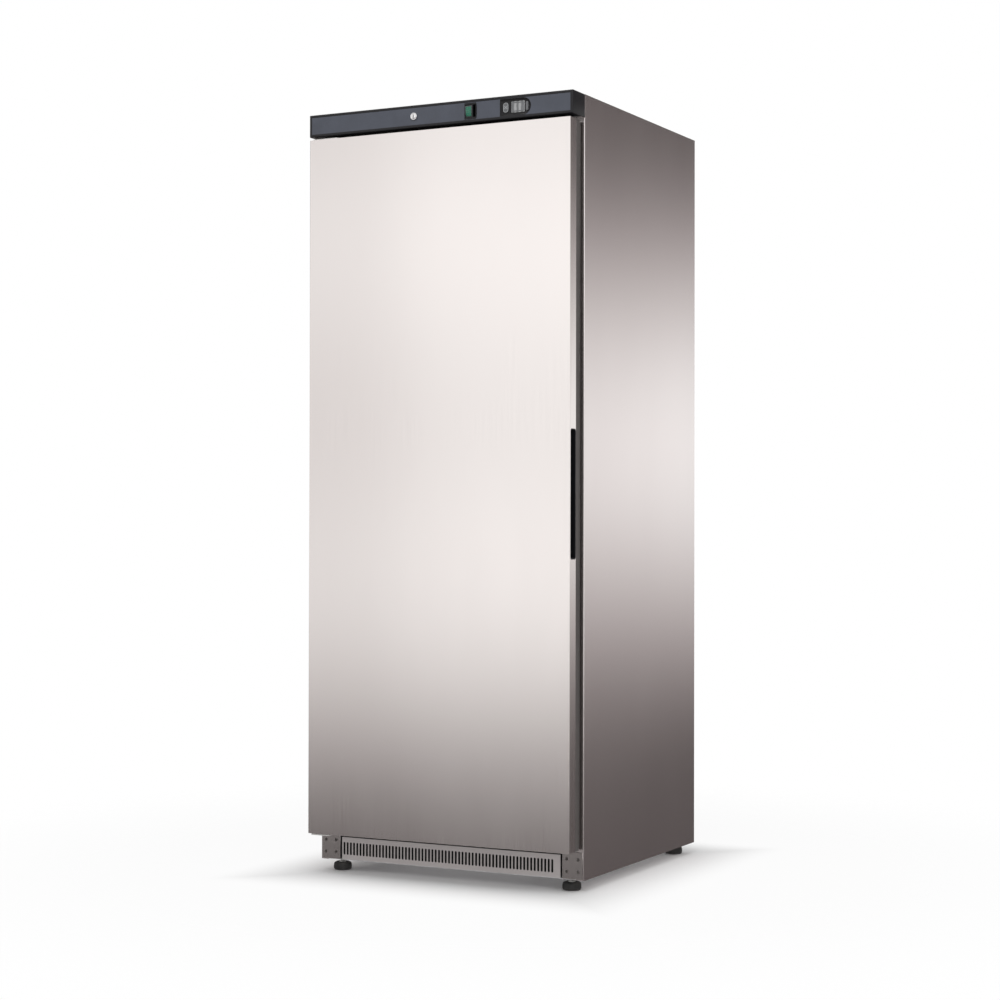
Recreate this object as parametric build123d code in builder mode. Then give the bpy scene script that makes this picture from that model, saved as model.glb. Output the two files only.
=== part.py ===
from build123d import *
from math import cos, radians, sin
import os

# An upright storage chiller of the 600-litre class: a foamed steel cabinet on four levelling
# feet, one full-height stainless door hung on the left, a black control fascia above the door
# and a slotted grille between two steel brackets below it. Sizes are in millimetres.
# X runs to the viewer's right, Y runs back from the door, Z is up from the floor. The origin
# is the middle of the footprint, on the floor.

# Flats cut on small turned pieces and on their holes, which keep the model light
round_sides = 12
wide_sides = 24        # on feet, compressor, fan and lock
screw_sides = 6

# Overall size
width = 730.0          # across the side panels
depth = 765.0          # face of the door to the rear edges of the side panels
height = 1895.0        # floor to roof

# Cabinet
floor_gap = 28.0       # floor to the underside of the cabinet
door_stand = 72.0      # face of the door to the front plane of the cabinet
sheet = 1.0            # outer steel sheet
front_flange = 20.0    # return of a side panel at the front plane
rear_flange = 14.0     # return of a side panel at the rear
bottom_flange = 20.0   # return of a side panel underneath
wall_side = 52.0       # insulated walls, sheet to liner face
wall_back = 50.0
sill = 98.0            # floor to the underside of the insulated floor
wall_floor = 52.0
roof_gap = 107.0       # roof to the ceiling of the storage space
rear_recess = 42.0     # rear edges of the side panels to the back panel
machine_depth = 245.0  # depth of the raised machine space at the rear
machine_top = 282.0    # floor to the insulated roof of the machine space
liner_wall = 2.0
liner_corner = 14.0    # cut of the rear corners
sheet_hole_play = 1.0  # round a levelling stud where it passes a sheet

# Door
door_side_gap = 4.0    # each side of the door to the side of the cabinet
door_bottom = 101.0
door_top_gap = 8.5     # door to the underside of the fascia
door_sheet = 1.0
door_return = 34.0     # depth of the stainless return round the door
door_body = 58.0       # face of the door to the back of the edge frame
door_corner = 4.0      # bend radius of the door's upright edges
door_lip = 8.0         # hem at the rear of the return
edge_inset = 3.0       # black edge strips and liner, in from the return
edge_width = 18.0
cap_height = 24.0      # moulded caps that close the top and bottom of the door
door_liner_wall = 2.0
dyke_reach = 20.0      # inner ridge of the door liner, behind the liner's flange
dyke_width = 34.0
dyke_gap = 12.0        # ridge to the wall of the storage space
gasket_width = 15.0
gasket_inset = 24.0    # door edge to gasket
gasket_neck = 4.0      # depth of the narrow root of the gasket
gasket_root = 8.0
seal_gap = 0.3         # free gap left by a closed gasket
dyke_taper = 8.0       # draft of the ridge, degrees
dyke_corner = 24.0
dyke_inner_corner = 13.8

# Handle recess in the right-hand return of the door
grip_bottom = 790.0
grip_top = 1098.0
grip_depth = 46.0
grip_wall = 2.0
grip_front = 4.0       # face of the door to the recess moulding
grip_corner = 6.0

# Hinges, at the left
pin_inset = 22.0       # side of the cabinet to the hinge axis
pin_stand = 36.0       # face of the door to the hinge axis
pin_radius = 5.0
running_gap = 0.05     # radial play of a turning or sliding pin
pin_reach = 20.0       # length of a pin inside the door
bush_radius = 8.0
bush_flange = 11.0
bush_flange_height = 1.0
bush_end = 1.0            # bush past the end of its pin
hinge_plate = 3.0
plate_corner = 8.0
upper_plate_width = 76.0
upper_plate_front = 12.0  # face of the door to the plate's front edge
upper_plate_gap = 1.5     # door to plate
upper_leg = 44.0          # upright leg of the upper plate
leg_screw_rise = 27.28    # underside of the upper plate to its leg screws
washer_radius = 9.0

# Brackets at the foot of the cabinet
bracket_width = 54.0
bracket_inset = 2.0
bracket_bottom = 30.0
bracket_sheet = 2.0
bracket_boss = 0.8        # pressed pad in the middle of a bracket
boss_taper = 30.0
bracket_pad = 22.0
lower_plate_front = 14.0
screw_pitch = 30.0
screw_head = 4.2
screw_head_height = 2.2
screw_taper = 20.0
screw_shank = 2.0

# Grille
grille_gap = 5.0          # grille to a bracket
grille_bottom = 31.0
grille_sheet = 1.2
grille_lip = 14.0
slot_margin = 18.0        # plain ends of the grille, both together
slot_pitch = 9.35
slot_width = 5.4
slot_height = 30.0
slot_corner = 1.7         # cut that stands for the round ends
slot_level = 58.0
slot_shift = -7.5

# Fascia
fascia_height = 55.5
fascia_stand = 6.0        # face of the door to the face of the fascia
fascia_wall = 2.5
fascia_rim = 3.0
fascia_edge = 2.0
face_plate = 1.2
strip_front = 50.0        # face of the door to the strip that carries the fascia
strip_sheet = 1.2
fascia_play = 0.3

# Lock
lock_x = -64.0
lock_body_radius = 8.0
lock_head_radius = 9.0
lock_head_reach = 4.0
lock_chamfer = 1.2
lock_length = 34.0
plug_radius = 6.0
plug_reach = 0.8
nut_radius = 12.0
nut_depth = 4.0
key_slot = 1.4
key_slot_width = 8.0
key_slot_depth = 6.0
cam_length = 44.0
cam_width = 10.0
cam_sheet = 3.0
cam_play = 1.5
cam_gap = 1.0             # barrel to cam
cam_slot_depth = 12.0

# Mains switch
switch_x = 92.5
switch_width = 33.0
switch_height = 39.0
switch_bulge = 3.0
switch_bezel = 1.0
switch_body = 22.0
rocker_shift = -6.0
rocker_width = 19.0
rocker_height = 29.0
rocker_play = 0.5
rocker_throw = 6.0        # tilt each side of centre, degrees
rocker_pivot = 5.0
rocker_pin = 1.5
rocker_pin_reach = 1.2
rocker_crown = 6.0
rocker_edge = 4.0
rocker_back = 6.0
rocker_foot = 11.0
pocket_depth = 17.0
side_pocket_depth = 6.0
side_pocket_wall = 1.0
side_pocket_edge = 1.5

# Temperature controller
control_x = 213.0
control_width = 84.0
control_height = 42.0
control_dish = 4.0        # depth of the dished front
control_wall = 2.0
bow_flats = 8             # in the rounded end of the controller and the switch
control_body = 30.0
display_x = 218.5
display_width = 35.0
display_height = 27.0
display_reach = 1.0
set_button_x = 186.5
set_button_width = 14.0
set_button_height = 24.0
light_button_x = 243.0
light_button_width = 7.0
light_button_height = 22.0
button_reach = 2.6
button_flange = 1.5
button_corner = 2.0
button_play = 0.3

# Levelling feet
foot_inset = 45.0         # side of the cabinet to a foot
foot_front = 101.0        # face of the door to the front feet
foot_rear = 35.0          # rear edge to the rear feet
pad_radius = 24.0
pad_height = 19.5
pad_chamfer = 2.0
pad_taper = 4.0
stud_radius = 5.0
stud_length = 57.0        # above the nut
socket_radius = 10.0
socket_height = 12.0
nut_flats = 8.5
nut_height = 3.0

# Base
rail_width = 60.0
rail_sheet = 2.0
rail_top_flange = 30.0
cross_size = 25.0
cross_inset = 14.0        # rear edge to the rear crossmember
deck_front = 455.0        # face of the door to the front of the compressor deck
deck_sheet = 1.5
deck_lap = 4.0
well_front = 460.0
well_back = 600.0
well_bottom = 20.0
well_play = 4.0
trough_corner = 6.0

# Cooling set
compressor_x = -70.0
compressor_depth = 108.0  # rear edge to the compressor's axis
compressor_radius = 84.0
compressor_waist = 78.0   # height of the pot's seam above its base
compressor_height = 158.0
compressor_foot_x = 186.0
compressor_foot_y = 118.0
compressor_plate = 3.0
pot_bottom = 14.0
seam = 3.0
dome_height = 40.0
foot_corner = 12.0
terminal_width = 46.0
terminal_reach = 16.0
mount_height = 14.0
mount_radius = 11.0
mount_waist = 7.5
mount_inset = 20.0
tray_height = 30.0
tray_wall = 2.0
tray_half = 78.0
tray_corner = 14.0
tube_radius = 3.0
suction_radius = 4.0
condenser_inset = 73.0    # side of the cabinet to the return bends
condenser_bottom = 420.0
condenser_pitch = 75.0
condenser_top_gap = 420.0 # least height from the top run to the roof
bend_corners = 4          # in each return bend
tail_corners = 2
clip_depth = 13.0
condenser_stand = 12.0    # back panel to the tube's axis
tail_bend = 20.0
tail_gap = 9.0            # return bends to the upright tails
tail_drop = 120.0
weld_gap = 0.02           # faces of welded wires
drain_drop = 36.0
clip_height = 18.0
clip_wire = 3             # the clip stands in the gap after this wire, from each side
line_level = 146.0        # floor to the discharge line where it leaves the pot
suction_level = 104.0
line_bend = 22.0
suction_reach = 60.0
capillary_radius = 1.5
capillary_drop = 40.0
capillary_reach = 34.0
capillary_bend = 8.0
gland_height = 10.0
gland_bore = 4.5
wire_size = 2.0
wire_count = 20
wire_margin = 10.0        # end of the straight runs to the first wire
clip_width = 14.0
drier_radius = 9.0
drier_length = 90.0
drier_taper = 14.0
gland_inset = 135.0       # side of the cabinet to the gland
gland_radius = 11.0
gland_stem = 7.7
gland_nut = 3.0
gland_hex = 6.0

# Inside the storage space
ledge_first = 370.0
ledge_pitch = 125.0
ledge_reach = 12.0
ledge_height = 16.0
ledge_nose = 10.0
ledge_front = 36.0        # front plane to the ledges
ledge_back = 24.0         # rear wall to the ledges
shelf_side_play = 3.0
shelf_frame = 6.0
shelf_corner = 12.0
shelf_wire = 4.0
shelf_wire_end = 1.0
shelf_wires = 19
shelf_rods = 2
cover_depth = 330.0
cover_height = 148.0
cover_inset = 28.0        # side wall of the storage space to the cover
cover_wall = 2.0
fan_radius = 72.0
fan_x = 0.0
guard_rings = 2
guard_boss = 14.0
guard_wire = 3.0
rotor_hub = 19.0
rotor_depth = 22.0
blade_count = 5
blade_sheet = 2.0
blade_pitch = 28.0
blade_width = 42.0
blade_root = 4.0          # sunk in the hub
blade_neck = 0.3          # half width at the root, as a share of the blade's width
blade_edge = ((0.7, -0.5), (0.95, -0.35), (1.0, 0.2), (0.85, 0.5))  # shares: reach, width
rotor_nose = 3.0
motor_radius = 24.0
motor_depth = 40.0
motor_chamfer = 5.0
shaft_radius = 2.5
coil_inset = 65.0         # end of the cover to the end of the coil
coil_depth = 150.0
coil_height = 78.0
coil_gap = 12.0
fin_count = 18
fin_sheet = 2.0
coil_core = 16.0
cover_slots = 12
cover_slot_pitch = 40.0
cover_slot_width = 8.0
cover_slot_length = 90.0
rotor_gap = 5.0
blade_gap = 4.0
pedestal = 18.0
pedestal_inset = 8.0
pedestal_sink = 3.0       # into the motor
probe_length = 42.0
probe_clip = 10.0
drain_radius = 8.0
drain_wall = 1.5
drain_flange = 4.0
probe_radius = 3.5
probe_share = 0.6         # of the way from the middle of the cover to its end

# Faces and axes that the pieces share
x_side = width / 2
liner_ease = liner_wall * (2 - 2 ** 0.5)
y_door = -depth / 2
y_rear = depth / 2
y_face = y_door + door_stand
y_back = y_rear - rear_recess
fascia_bottom = height - fascia_height
door_top = fascia_bottom - door_top_gap
cavity_half = x_side - wall_side
cavity_floor = sill + wall_floor
cavity_top = height - roof_gap
cavity_back = y_back - wall_back
riser = y_back - machine_depth
step_top = machine_top + wall_floor
drain_y = cavity_back - 2 * drain_radius - liner_corner
roof_under = height - sheet
door_half = x_side - door_side_gap
y_liner = y_door + door_body
y_gasket = y_liner + door_liner_wall
pin_x = -x_side + pin_inset
pin_y = y_door + pin_stand
fascia_middle = (fascia_bottom + height) / 2
y_fascia = y_door + fascia_stand
bracket_top = door_bottom - 6.0
y_bracket = y_face - bracket_sheet
grille_half = x_side - bracket_inset - bracket_width - grille_gap
slot_count = int((2 * grille_half - slot_margin) / slot_pitch)
condenser_half = x_side - condenser_inset
condenser_passes = 1 + int((height - condenser_bottom - condenser_top_gap) / condenser_pitch)
clip_passes = (1, condenser_passes // 2, condenser_passes - 2)
cover_half = cavity_half - cover_inset
coil_half = cover_half - coil_inset
ledge_count = int((cavity_top - cover_height - ledge_first) / ledge_pitch)
shelf_step = (ledge_count - 1) // 3
shelf_ledges = (0, shelf_step, 2 * shelf_step, ledge_count - 2)
gland_x = x_side - gland_inset

# Places that the base, the brackets and the feet share
rail_out = x_side - sheet
rail_in = rail_out - rail_width
rail_bottom = floor_gap + sheet
rail_floor = rail_bottom + rail_sheet
foot_x = x_side - foot_inset
foot_places = [
    (side * foot_x, y) for y in (y_door + foot_front, y_rear - foot_rear) for side in (-1, 1)
]
bracket_x = x_side - bracket_inset - bracket_width / 2
bracket_z = (bracket_bottom + bracket_top) / 2
screw_grid = [
    (side * bracket_x + i * screw_pitch / 2, bracket_z + j * screw_pitch / 2)
    for side in (-1, 1) for i in (-1, 1) for j in (-1, 1)
]
upper_leg_x = -door_half + upper_plate_width / 2
upper_plate_bottom = door_top + upper_plate_gap
upper_plate_top = upper_plate_bottom + hinge_plate
leg_screw_z = upper_plate_bottom + leg_screw_rise
leg_screws = [(upper_leg_x + i * screw_pitch / 2, leg_screw_z) for i in (-1, 1)]


def facing(y):
    """Upright plane across the cabinet that looks forward; local x is X and local y is Z."""
    return Plane(origin=(0, y, 0), x_dir=(1, 0, 0), z_dir=(0, -1, 0))


def behind(y):
    """Upright plane across the cabinet that looks back; local x is -X and local y is Z."""
    return Plane(origin=(0, y, 0), x_dir=(-1, 0, 0), z_dir=(0, 1, 0))


def across(x):
    """Upright plane along the cabinet's depth that looks right; local x is Y and local y is Z."""
    return Plane(origin=(x, 0, 0), x_dir=(0, 1, 0), z_dir=(1, 0, 0))


def level(z):
    """Level plane at a height above the floor."""
    return Plane.XY.offset(z)


def block(x0, x1, y0, y1, z0, z1, mode=Mode.ADD):
    """Square-edged stock between three pairs of faces, for flanges, slots and cut-outs."""
    with Locations(((x0 + x1) / 2, (y0 + y1) / 2, (z0 + z1) / 2)):
        Box(abs(x1 - x0), abs(y1 - y0), abs(z1 - z0), mode=mode)


def outline(points):
    """Closed flat face through the given corners."""
    Polygon(*points, align=None)


def disc(radius, sides=round_sides):
    """Section of a turned piece; its corners lie on the radius."""
    RegularPolygon(radius, sides)


def bore(radius, sides=round_sides, mode=Mode.ADD):
    """Section of a hole that clears a turned piece of this radius; its flats lie on the radius."""
    RegularPolygon(radius, sides, major_radius=False, mode=mode)


def eased(wide, tall, cut, mode=Mode.ADD):
    """Rectangle with its corners cut, for mouldings and folded sheets."""
    x, y = wide / 2, tall / 2
    Polygon(
        (-x + cut, -y), (x - cut, -y), (x, -y + cut), (x, y - cut),
        (x - cut, y), (-x + cut, y), (-x, y - cut), (-x, -y + cut), align=None, mode=mode,
    )


def turned(plane, profile, sides=round_sides):
    """Turned piece on the normal of a plane, through (radius, distance) pairs in order."""
    turns = [radians(360 * i / sides) for i in range(sides + 1)]
    rings = [
        [plane.from_local_coords((radius * cos(a), radius * sin(a), distance)) for a in turns]
        for radius, distance in profile
    ]
    flats = [
        Face(Wire.make_polygon([low[i], low[i + 1], high[i + 1], high[i]]))
        for low, high in zip(rings, rings[1:]) for i in range(sides)
    ]
    ends = [Face(Wire.make_polygon(ring[:-1])) for ring in (rings[0], rings[-1])]
    add(Solid(Shell(flats + ends)))


def piped(points, radius, sides=6):
    """Flat-sided tube along straight runs, mitred where it turns."""
    path = [Vector(*point) for point in points]
    ways = [(end - start).normalized() for start, end in zip(path, path[1:])]
    start = Plane(origin=path[0], z_dir=ways[0])
    turns = [radians(360 * i / sides) for i in range(sides)]
    rings = [[start.from_local_coords((radius * cos(a), radius * sin(a), 0)) for a in turns]]
    for way, after, corner in zip(ways, ways[1:] + ways[-1:], path[1:]):
        mitre = way + after
        rings.append([p + way * ((corner - p).dot(mitre) / way.dot(mitre)) for p in rings[-1]])
    flats = [
        Face(Wire.make_polygon([low[i - 1], low[i], high[i], high[i - 1]]))
        for low, high in zip(rings, rings[1:]) for i in range(sides)
    ]
    ends = [Face(Wire.make_polygon(ring)) for ring in (rings[0], rings[-1])]
    add(Solid(Shell(flats + ends)))


def bend_points(centre, radius, start, turn, corners):
    """Corners of a pipe bend: a polyline drawn round its arc, from start through turn degrees."""
    half = turn / corners / 2
    reach = radius / cos(radians(half))
    angles = [radians(start + (2 * i + 1) * half) for i in range(corners)]
    return [(centre[0] + reach * cos(a), centre[1] + reach * sin(a)) for a in angles]


def cut_corners(points, length):
    """Pipe run through the points whose inner corners are each bent twice, length away."""
    run = [points[0]]
    for before, corner, after in zip(points, points[1:], points[2:]):
        for end in (before, after):
            way = (Vector(*end) - Vector(*corner)).normalized()
            run.append(tuple(Vector(*corner) + way * length))
    return run + [points[-1]]


def cavity_profile(grow):
    """Side view of the storage space, its walls moved out by grow; the front stays open."""
    outline([
        (y_face, cavity_floor - grow),
        (riser - wall_back + grow, cavity_floor - grow),
        (riser - wall_back + grow, step_top - grow),
        (cavity_back + grow, step_top - grow),
        (cavity_back + grow, cavity_top + grow),
        (y_face, cavity_top + grow),
    ])


os.makedirs("parts", exist_ok=True)

# Side panels: one folded sheet a side, with returns at the front, the rear and underneath.
for side, hand in ((-1, "left"), (1, "right")):
    with BuildPart() as side_panel:
        with BuildSketch(level(floor_gap)):
            outline([
                (side * x_side, y_face),
                (side * x_side, y_rear),
                (side * (x_side - rear_flange), y_rear),
                (side * (x_side - rear_flange), y_rear - sheet),
                (side * (x_side - sheet), y_rear - sheet),
                (side * (x_side - sheet), y_face + sheet),
                (side * (x_side - front_flange), y_face + sheet),
                (side * (x_side - front_flange), y_face),
            ])
        extrude(amount=roof_under - floor_gap)
        block(
            side * (x_side - sheet), side * (x_side - bottom_flange),
            y_face + sheet, y_rear - sheet, floor_gap, floor_gap + sheet,
        )
        with BuildSketch(facing(y_face)):
            with Locations(*screw_grid):
                bore(screw_shank, screw_sides)
        extrude(amount=-sheet, mode=Mode.SUBTRACT)
    side_panel.part.label = f"side_panel_{hand}"
    export_step(side_panel.part, f"parts/side_panel_{hand}.step")

# Roof: a flat sheet over both side panels, folded down at the rear.
with BuildPart() as roof_panel:
    block(-x_side, x_side, y_face, y_rear, roof_under, height)
    lip_half = x_side - rear_flange
    block(-lip_half, lip_half, y_rear - sheet, y_rear, roof_under - rear_flange, roof_under)
roof_panel.part.label = "roof_panel"
export_step(roof_panel.part, "parts/roof_panel.step")

# Back panel: it closes the foam and leaves a recess for the condenser behind it.
with BuildPart() as back_panel:
    block(
        -x_side + sheet, x_side - sheet, y_back, y_back + sheet, machine_top, roof_under,
    )
back_panel.part.label = "back_panel"
export_step(back_panel.part, "parts/back_panel.step")

# Front frame: the flat steel ring that the door gasket closes on.
with BuildPart() as front_frame:
    frame_half = x_side - front_flange
    with BuildSketch(facing(y_face)):
        with Locations((0, (sill + roof_under) / 2)):
            Rectangle(2 * frame_half, roof_under - sill)
        with Locations((0, (cavity_floor + cavity_top) / 2)):
            Rectangle(2 * cavity_half, cavity_top - cavity_floor, mode=Mode.SUBTRACT)
        with Locations(*leg_screws):
            bore(screw_shank, screw_sides, mode=Mode.SUBTRACT)
    extrude(amount=-sheet)
front_frame.part.label = "front_frame"
export_step(front_frame.part, "parts/front_frame.step")

# Insulated floor: foamed as a block of its own, stepped up over the machine space.
foam_half = x_side - sheet
foam_front = y_face + sheet
foam_floor = cavity_floor - liner_wall
foam_riser = riser - wall_back + liner_wall
foam_step = step_top - liner_wall
with BuildPart() as floor_foam:
    with BuildSketch(across(-foam_half)):
        outline([
            (foam_front, sill),
            (riser, sill),
            (riser, machine_top),
            (y_back, machine_top),
            (y_back, foam_step),
            (foam_riser, foam_step),
            (foam_riser, foam_floor),
            (foam_front, foam_floor),
        ])
    extrude(amount=2 * foam_half)
    with BuildSketch(level(machine_top)):
        with Locations((0, drain_y)):
            bore(drain_radius)
    extrude(amount=wall_floor, mode=Mode.SUBTRACT)
floor_foam.part.label = "floor_foam"
export_step(floor_foam.part, "parts/floor_foam.step")

# Insulation: foam poured between the outer sheets and the liner, down to the insulated floor.
with BuildPart() as insulation_foam:
    with BuildSketch(across(-foam_half)):
        outline([
            (foam_front, foam_floor),
            (foam_riser, foam_floor),
            (foam_riser, foam_step),
            (y_back, foam_step),
            (y_back, roof_under),
            (foam_front, roof_under),
        ])
    extrude(amount=2 * foam_half)
    liner_half = cavity_half + liner_wall
    with BuildSketch(across(-liner_half)) as foam_hollow:
        cavity_profile(liner_wall)
        rear_corners = foam_hollow.vertices().group_by(Axis.X)[-1]
        chamfer(rear_corners, length=liner_corner + liner_ease)
    extrude(amount=2 * liner_half, mode=Mode.SUBTRACT)
insulation_foam.part.label = "insulation_foam"
export_step(insulation_foam.part, "parts/insulation_foam.step")

# Inner liner: one vacuum-formed shell with moulded shelf ledges on both side walls.
with BuildPart() as inner_liner:
    with BuildSketch(across(-liner_half)) as liner_outside:
        cavity_profile(liner_wall)
        rear_corners = liner_outside.vertices().group_by(Axis.X)[-1]
        chamfer(rear_corners, length=liner_corner + liner_ease)
    extrude(amount=2 * liner_half)
    with BuildSketch(across(-cavity_half)) as liner_inside:
        cavity_profile(0)
        rear_corners = liner_inside.vertices().group_by(Axis.X)[-1]
        chamfer(rear_corners, length=liner_corner)
    extrude(amount=2 * cavity_half, mode=Mode.SUBTRACT)
    block(-x_side, x_side, y_face, y_face + sheet, 0, height, mode=Mode.SUBTRACT)
    with BuildSketch(facing(y_face + ledge_front)):
        for i in range(ledge_count):
            z = ledge_first + i * ledge_pitch + liner_wall
            for side in (-1, 1):
                outline([
                    (side * (cavity_half + liner_wall / 2), z - ledge_height),
                    (side * (cavity_half - ledge_reach), z - ledge_nose),
                    (side * (cavity_half - ledge_reach), z),
                    (side * (cavity_half + liner_wall / 2), z),
                ])
    extrude(amount=-(cavity_back - ledge_back - y_face - ledge_front))
    with BuildSketch(level(machine_top)):
        with Locations((0, drain_y)):
            bore(drain_radius)
    extrude(amount=wall_floor + liner_wall, mode=Mode.SUBTRACT)
inner_liner.part.label = "inner_liner"
export_step(inner_liner.part, "parts/inner_liner.step")

# Base rails: folded channels under the floor, open inwards, with end plates for the brackets.
with BuildPart() as base_rails:
    with BuildSketch(facing(y_face + sheet)):
        for side in (-1, 1):
            outline([
                (side * rail_out, rail_bottom),
                (side * rail_in, rail_bottom),
                (side * rail_in, rail_floor),
                (side * (rail_out - rail_sheet), rail_floor),
                (side * (rail_out - rail_sheet), sill - rail_sheet),
                (side * (rail_out - rail_top_flange), sill - rail_sheet),
                (side * (rail_out - rail_top_flange), sill),
                (side * rail_out, sill),
            ])
    extrude(amount=-(y_rear - y_face - 2 * sheet))
    for side in (-1, 1):
        block(
            side * rail_in, side * rail_out,
            y_face + sheet, y_face + sheet + rail_sheet, rail_bottom, sill,
        )
    with BuildSketch(facing(y_face + sheet)):
        with Locations(*screw_grid):
            bore(screw_shank, screw_sides)
    extrude(amount=-rail_sheet, mode=Mode.SUBTRACT)
    with BuildSketch(level(rail_bottom)):
        with Locations(*foot_places):
            bore(stud_radius + sheet_hole_play)
    extrude(amount=rail_sheet, mode=Mode.SUBTRACT)
base_rails.part.label = "base_rails"
export_step(base_rails.part, "parts/base_rails.step")

# Crossmembers: a steel angle behind the grille and one at the rear, between the rails.
with BuildPart() as crossmembers:
    cross_back = y_rear - cross_inset
    for y_leg, y_toe in (
        (y_face + sheet + cross_size, y_face + sheet),
        (cross_back, cross_back - cross_size),
    ):
        with BuildSketch(across(-rail_in)):
            outline([
                (y_toe, rail_bottom),
                (y_leg, rail_bottom),
                (y_leg, rail_bottom + cross_size),
                (y_leg - rail_sheet, rail_bottom + cross_size),
                (y_leg - rail_sheet, rail_floor),
                (y_toe, rail_floor),
            ])
        extrude(amount=2 * rail_in)
    with BuildSketch(facing(cross_back)):
        with Locations((gland_x, rail_bottom + cross_size / 2)):
            bore(gland_stem)
    extrude(amount=rail_sheet, mode=Mode.SUBTRACT)
crossmembers.part.label = "crossmembers"
export_step(crossmembers.part, "parts/crossmembers.step")

# Foot sockets: threaded bushes welded into the rails over each foot.
with BuildPart() as foot_sockets:
    with BuildSketch(level(rail_floor)):
        with Locations(*foot_places):
            RegularPolygon(socket_radius, 6, major_radius=False)
            bore(stud_radius + running_gap, mode=Mode.SUBTRACT)
    extrude(amount=socket_height)
foot_sockets.part.label = "foot_sockets"
export_step(foot_sockets.part, "parts/foot_sockets.step")

# Levelling feet: a black pad moulded on a steel stud, with a hexagon to turn it by.
foot_names = ("front_left", "front_right", "rear_left", "rear_right")
for (x, y), place in zip(foot_places, foot_names):
    with BuildPart() as foot:
        turned(Plane(origin=(x, y, 0)), [
            (pad_radius - pad_chamfer, 0),
            (pad_radius, pad_chamfer),
            (pad_radius, pad_height - 2 * pad_taper),
            (pad_radius - pad_taper, pad_height),
        ], wide_sides)
        with BuildSketch(level(pad_height)):
            with Locations((x, y)):
                RegularPolygon(nut_flats, 6, major_radius=False)
        extrude(amount=nut_height)
        with BuildSketch(level(pad_height + nut_height)):
            with Locations((x, y)):
                disc(stud_radius)
        extrude(amount=stud_length)
    foot.part.label = f"foot_{place}"
    export_step(foot.part, f"parts/foot_{place}.step")

# Compressor deck: a pressed tray on the rails, with a deep trough across its front.
with BuildPart() as compressor_deck:
    deck_half = rail_in + deck_lap
    deck_top = rail_floor + deck_sheet
    well_half = rail_in - well_play
    block(
        -deck_half, deck_half, y_door + deck_front, cross_back - rail_sheet,
        rail_floor, deck_top,
    )
    block(
        -well_half, well_half, y_door + well_front, y_door + well_back,
        well_bottom, deck_top,
    )
    block(
        -well_half + deck_sheet, well_half - deck_sheet,
        y_door + well_front + deck_sheet, y_door + well_back - deck_sheet,
        well_bottom + deck_sheet, deck_top, mode=Mode.SUBTRACT,
    )
    trough = compressor_deck.edges().filter_by(Axis.Z).group_by(Axis.Z)[0]
    chamfer(trough.group_by(SortBy.LENGTH)[-1], length=trough_corner)
compressor_deck.part.label = "compressor_deck"
export_step(compressor_deck.part, "parts/compressor_deck.step")

# Compressor: a welded steel pot on a foot plate, with its terminal cover at the front.
compressor_y = y_rear - compressor_depth
compressor_base = deck_top + mount_height
pot_base = compressor_base + compressor_plate
pot_top = pot_base + compressor_height
with BuildPart() as compressor:
    with BuildSketch(level(compressor_base)):
        with Locations((compressor_x, compressor_y)):
            eased(compressor_foot_x, compressor_foot_y, foot_corner)
    extrude(amount=compressor_plate)
    turned(Plane(origin=(compressor_x, compressor_y, pot_base)), [
        (compressor_radius - pot_bottom, 0),
        (compressor_radius, pot_bottom),
        (compressor_radius, compressor_waist - seam),
        (compressor_radius + seam, compressor_waist),
        (compressor_radius, compressor_waist + seam),
        (compressor_radius, compressor_height - dome_height),
        (compressor_radius - dome_height * 0.3, compressor_height - dome_height * 0.4),
        (compressor_radius - dome_height * 0.9, compressor_height),
    ], wide_sides)
    block(
        compressor_x - terminal_width / 2, compressor_x + terminal_width / 2,
        compressor_y - compressor_radius - terminal_reach, compressor_y - compressor_radius / 2,
        pot_base + pot_bottom, pot_base + compressor_waist - 2 * seam,
    )
compressor.part.label = "compressor"
export_step(compressor.part, "parts/compressor.step")

# Compressor mounts: rubber grommets with a waist, one under each corner of the foot plate.
mount_places = [
    (compressor_x + i * (compressor_foot_x / 2 - mount_inset),
     compressor_y + j * (compressor_foot_y / 2 - mount_inset))
    for i in (-1, 1) for j in (-1, 1)
]
with BuildPart() as compressor_mounts:
    for x, y in mount_places:
        turned(Plane(origin=(x, y, deck_top)), [
            (mount_radius, 0),
            (mount_waist, mount_height / 2),
            (mount_radius, mount_height),
        ])
compressor_mounts.part.label = "compressor_mounts"
export_step(compressor_mounts.part, "parts/compressor_mounts.step")

# Evaporation tray: an open moulded tray that stands on the warm compressor.
with BuildPart() as evaporation_tray:
    with BuildSketch(level(pot_top)):
        with Locations((compressor_x, compressor_y)):
            eased(2 * tray_half, 2 * tray_half, tray_corner)
    extrude(amount=tray_height)
    offset(amount=-tray_wall, openings=evaporation_tray.faces().sort_by(Axis.Z)[-1])
evaporation_tray.part.label = "evaporation_tray"
export_step(evaporation_tray.part, "parts/evaporation_tray.step")

# Drain: a flanged tube from the raised floor of the storage space, through the foam.
with BuildPart() as drain_tube:
    for z, tall, radius in (
        (machine_top - drain_drop, drain_drop + wall_floor, drain_radius),
        (step_top, drain_wall, drain_radius + drain_flange),
    ):
        with BuildSketch(level(z)):
            with Locations((0, drain_y)):
                disc(radius)
        extrude(amount=tall)
    with BuildSketch(level(machine_top - drain_drop)):
        with Locations((0, drain_y)):
            disc(drain_radius - drain_wall)
    extrude(amount=step_top + drain_wall, mode=Mode.SUBTRACT)
drain_tube.part.label = "drain_tube"
export_step(drain_tube.part, "parts/drain_tube.step")

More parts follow.
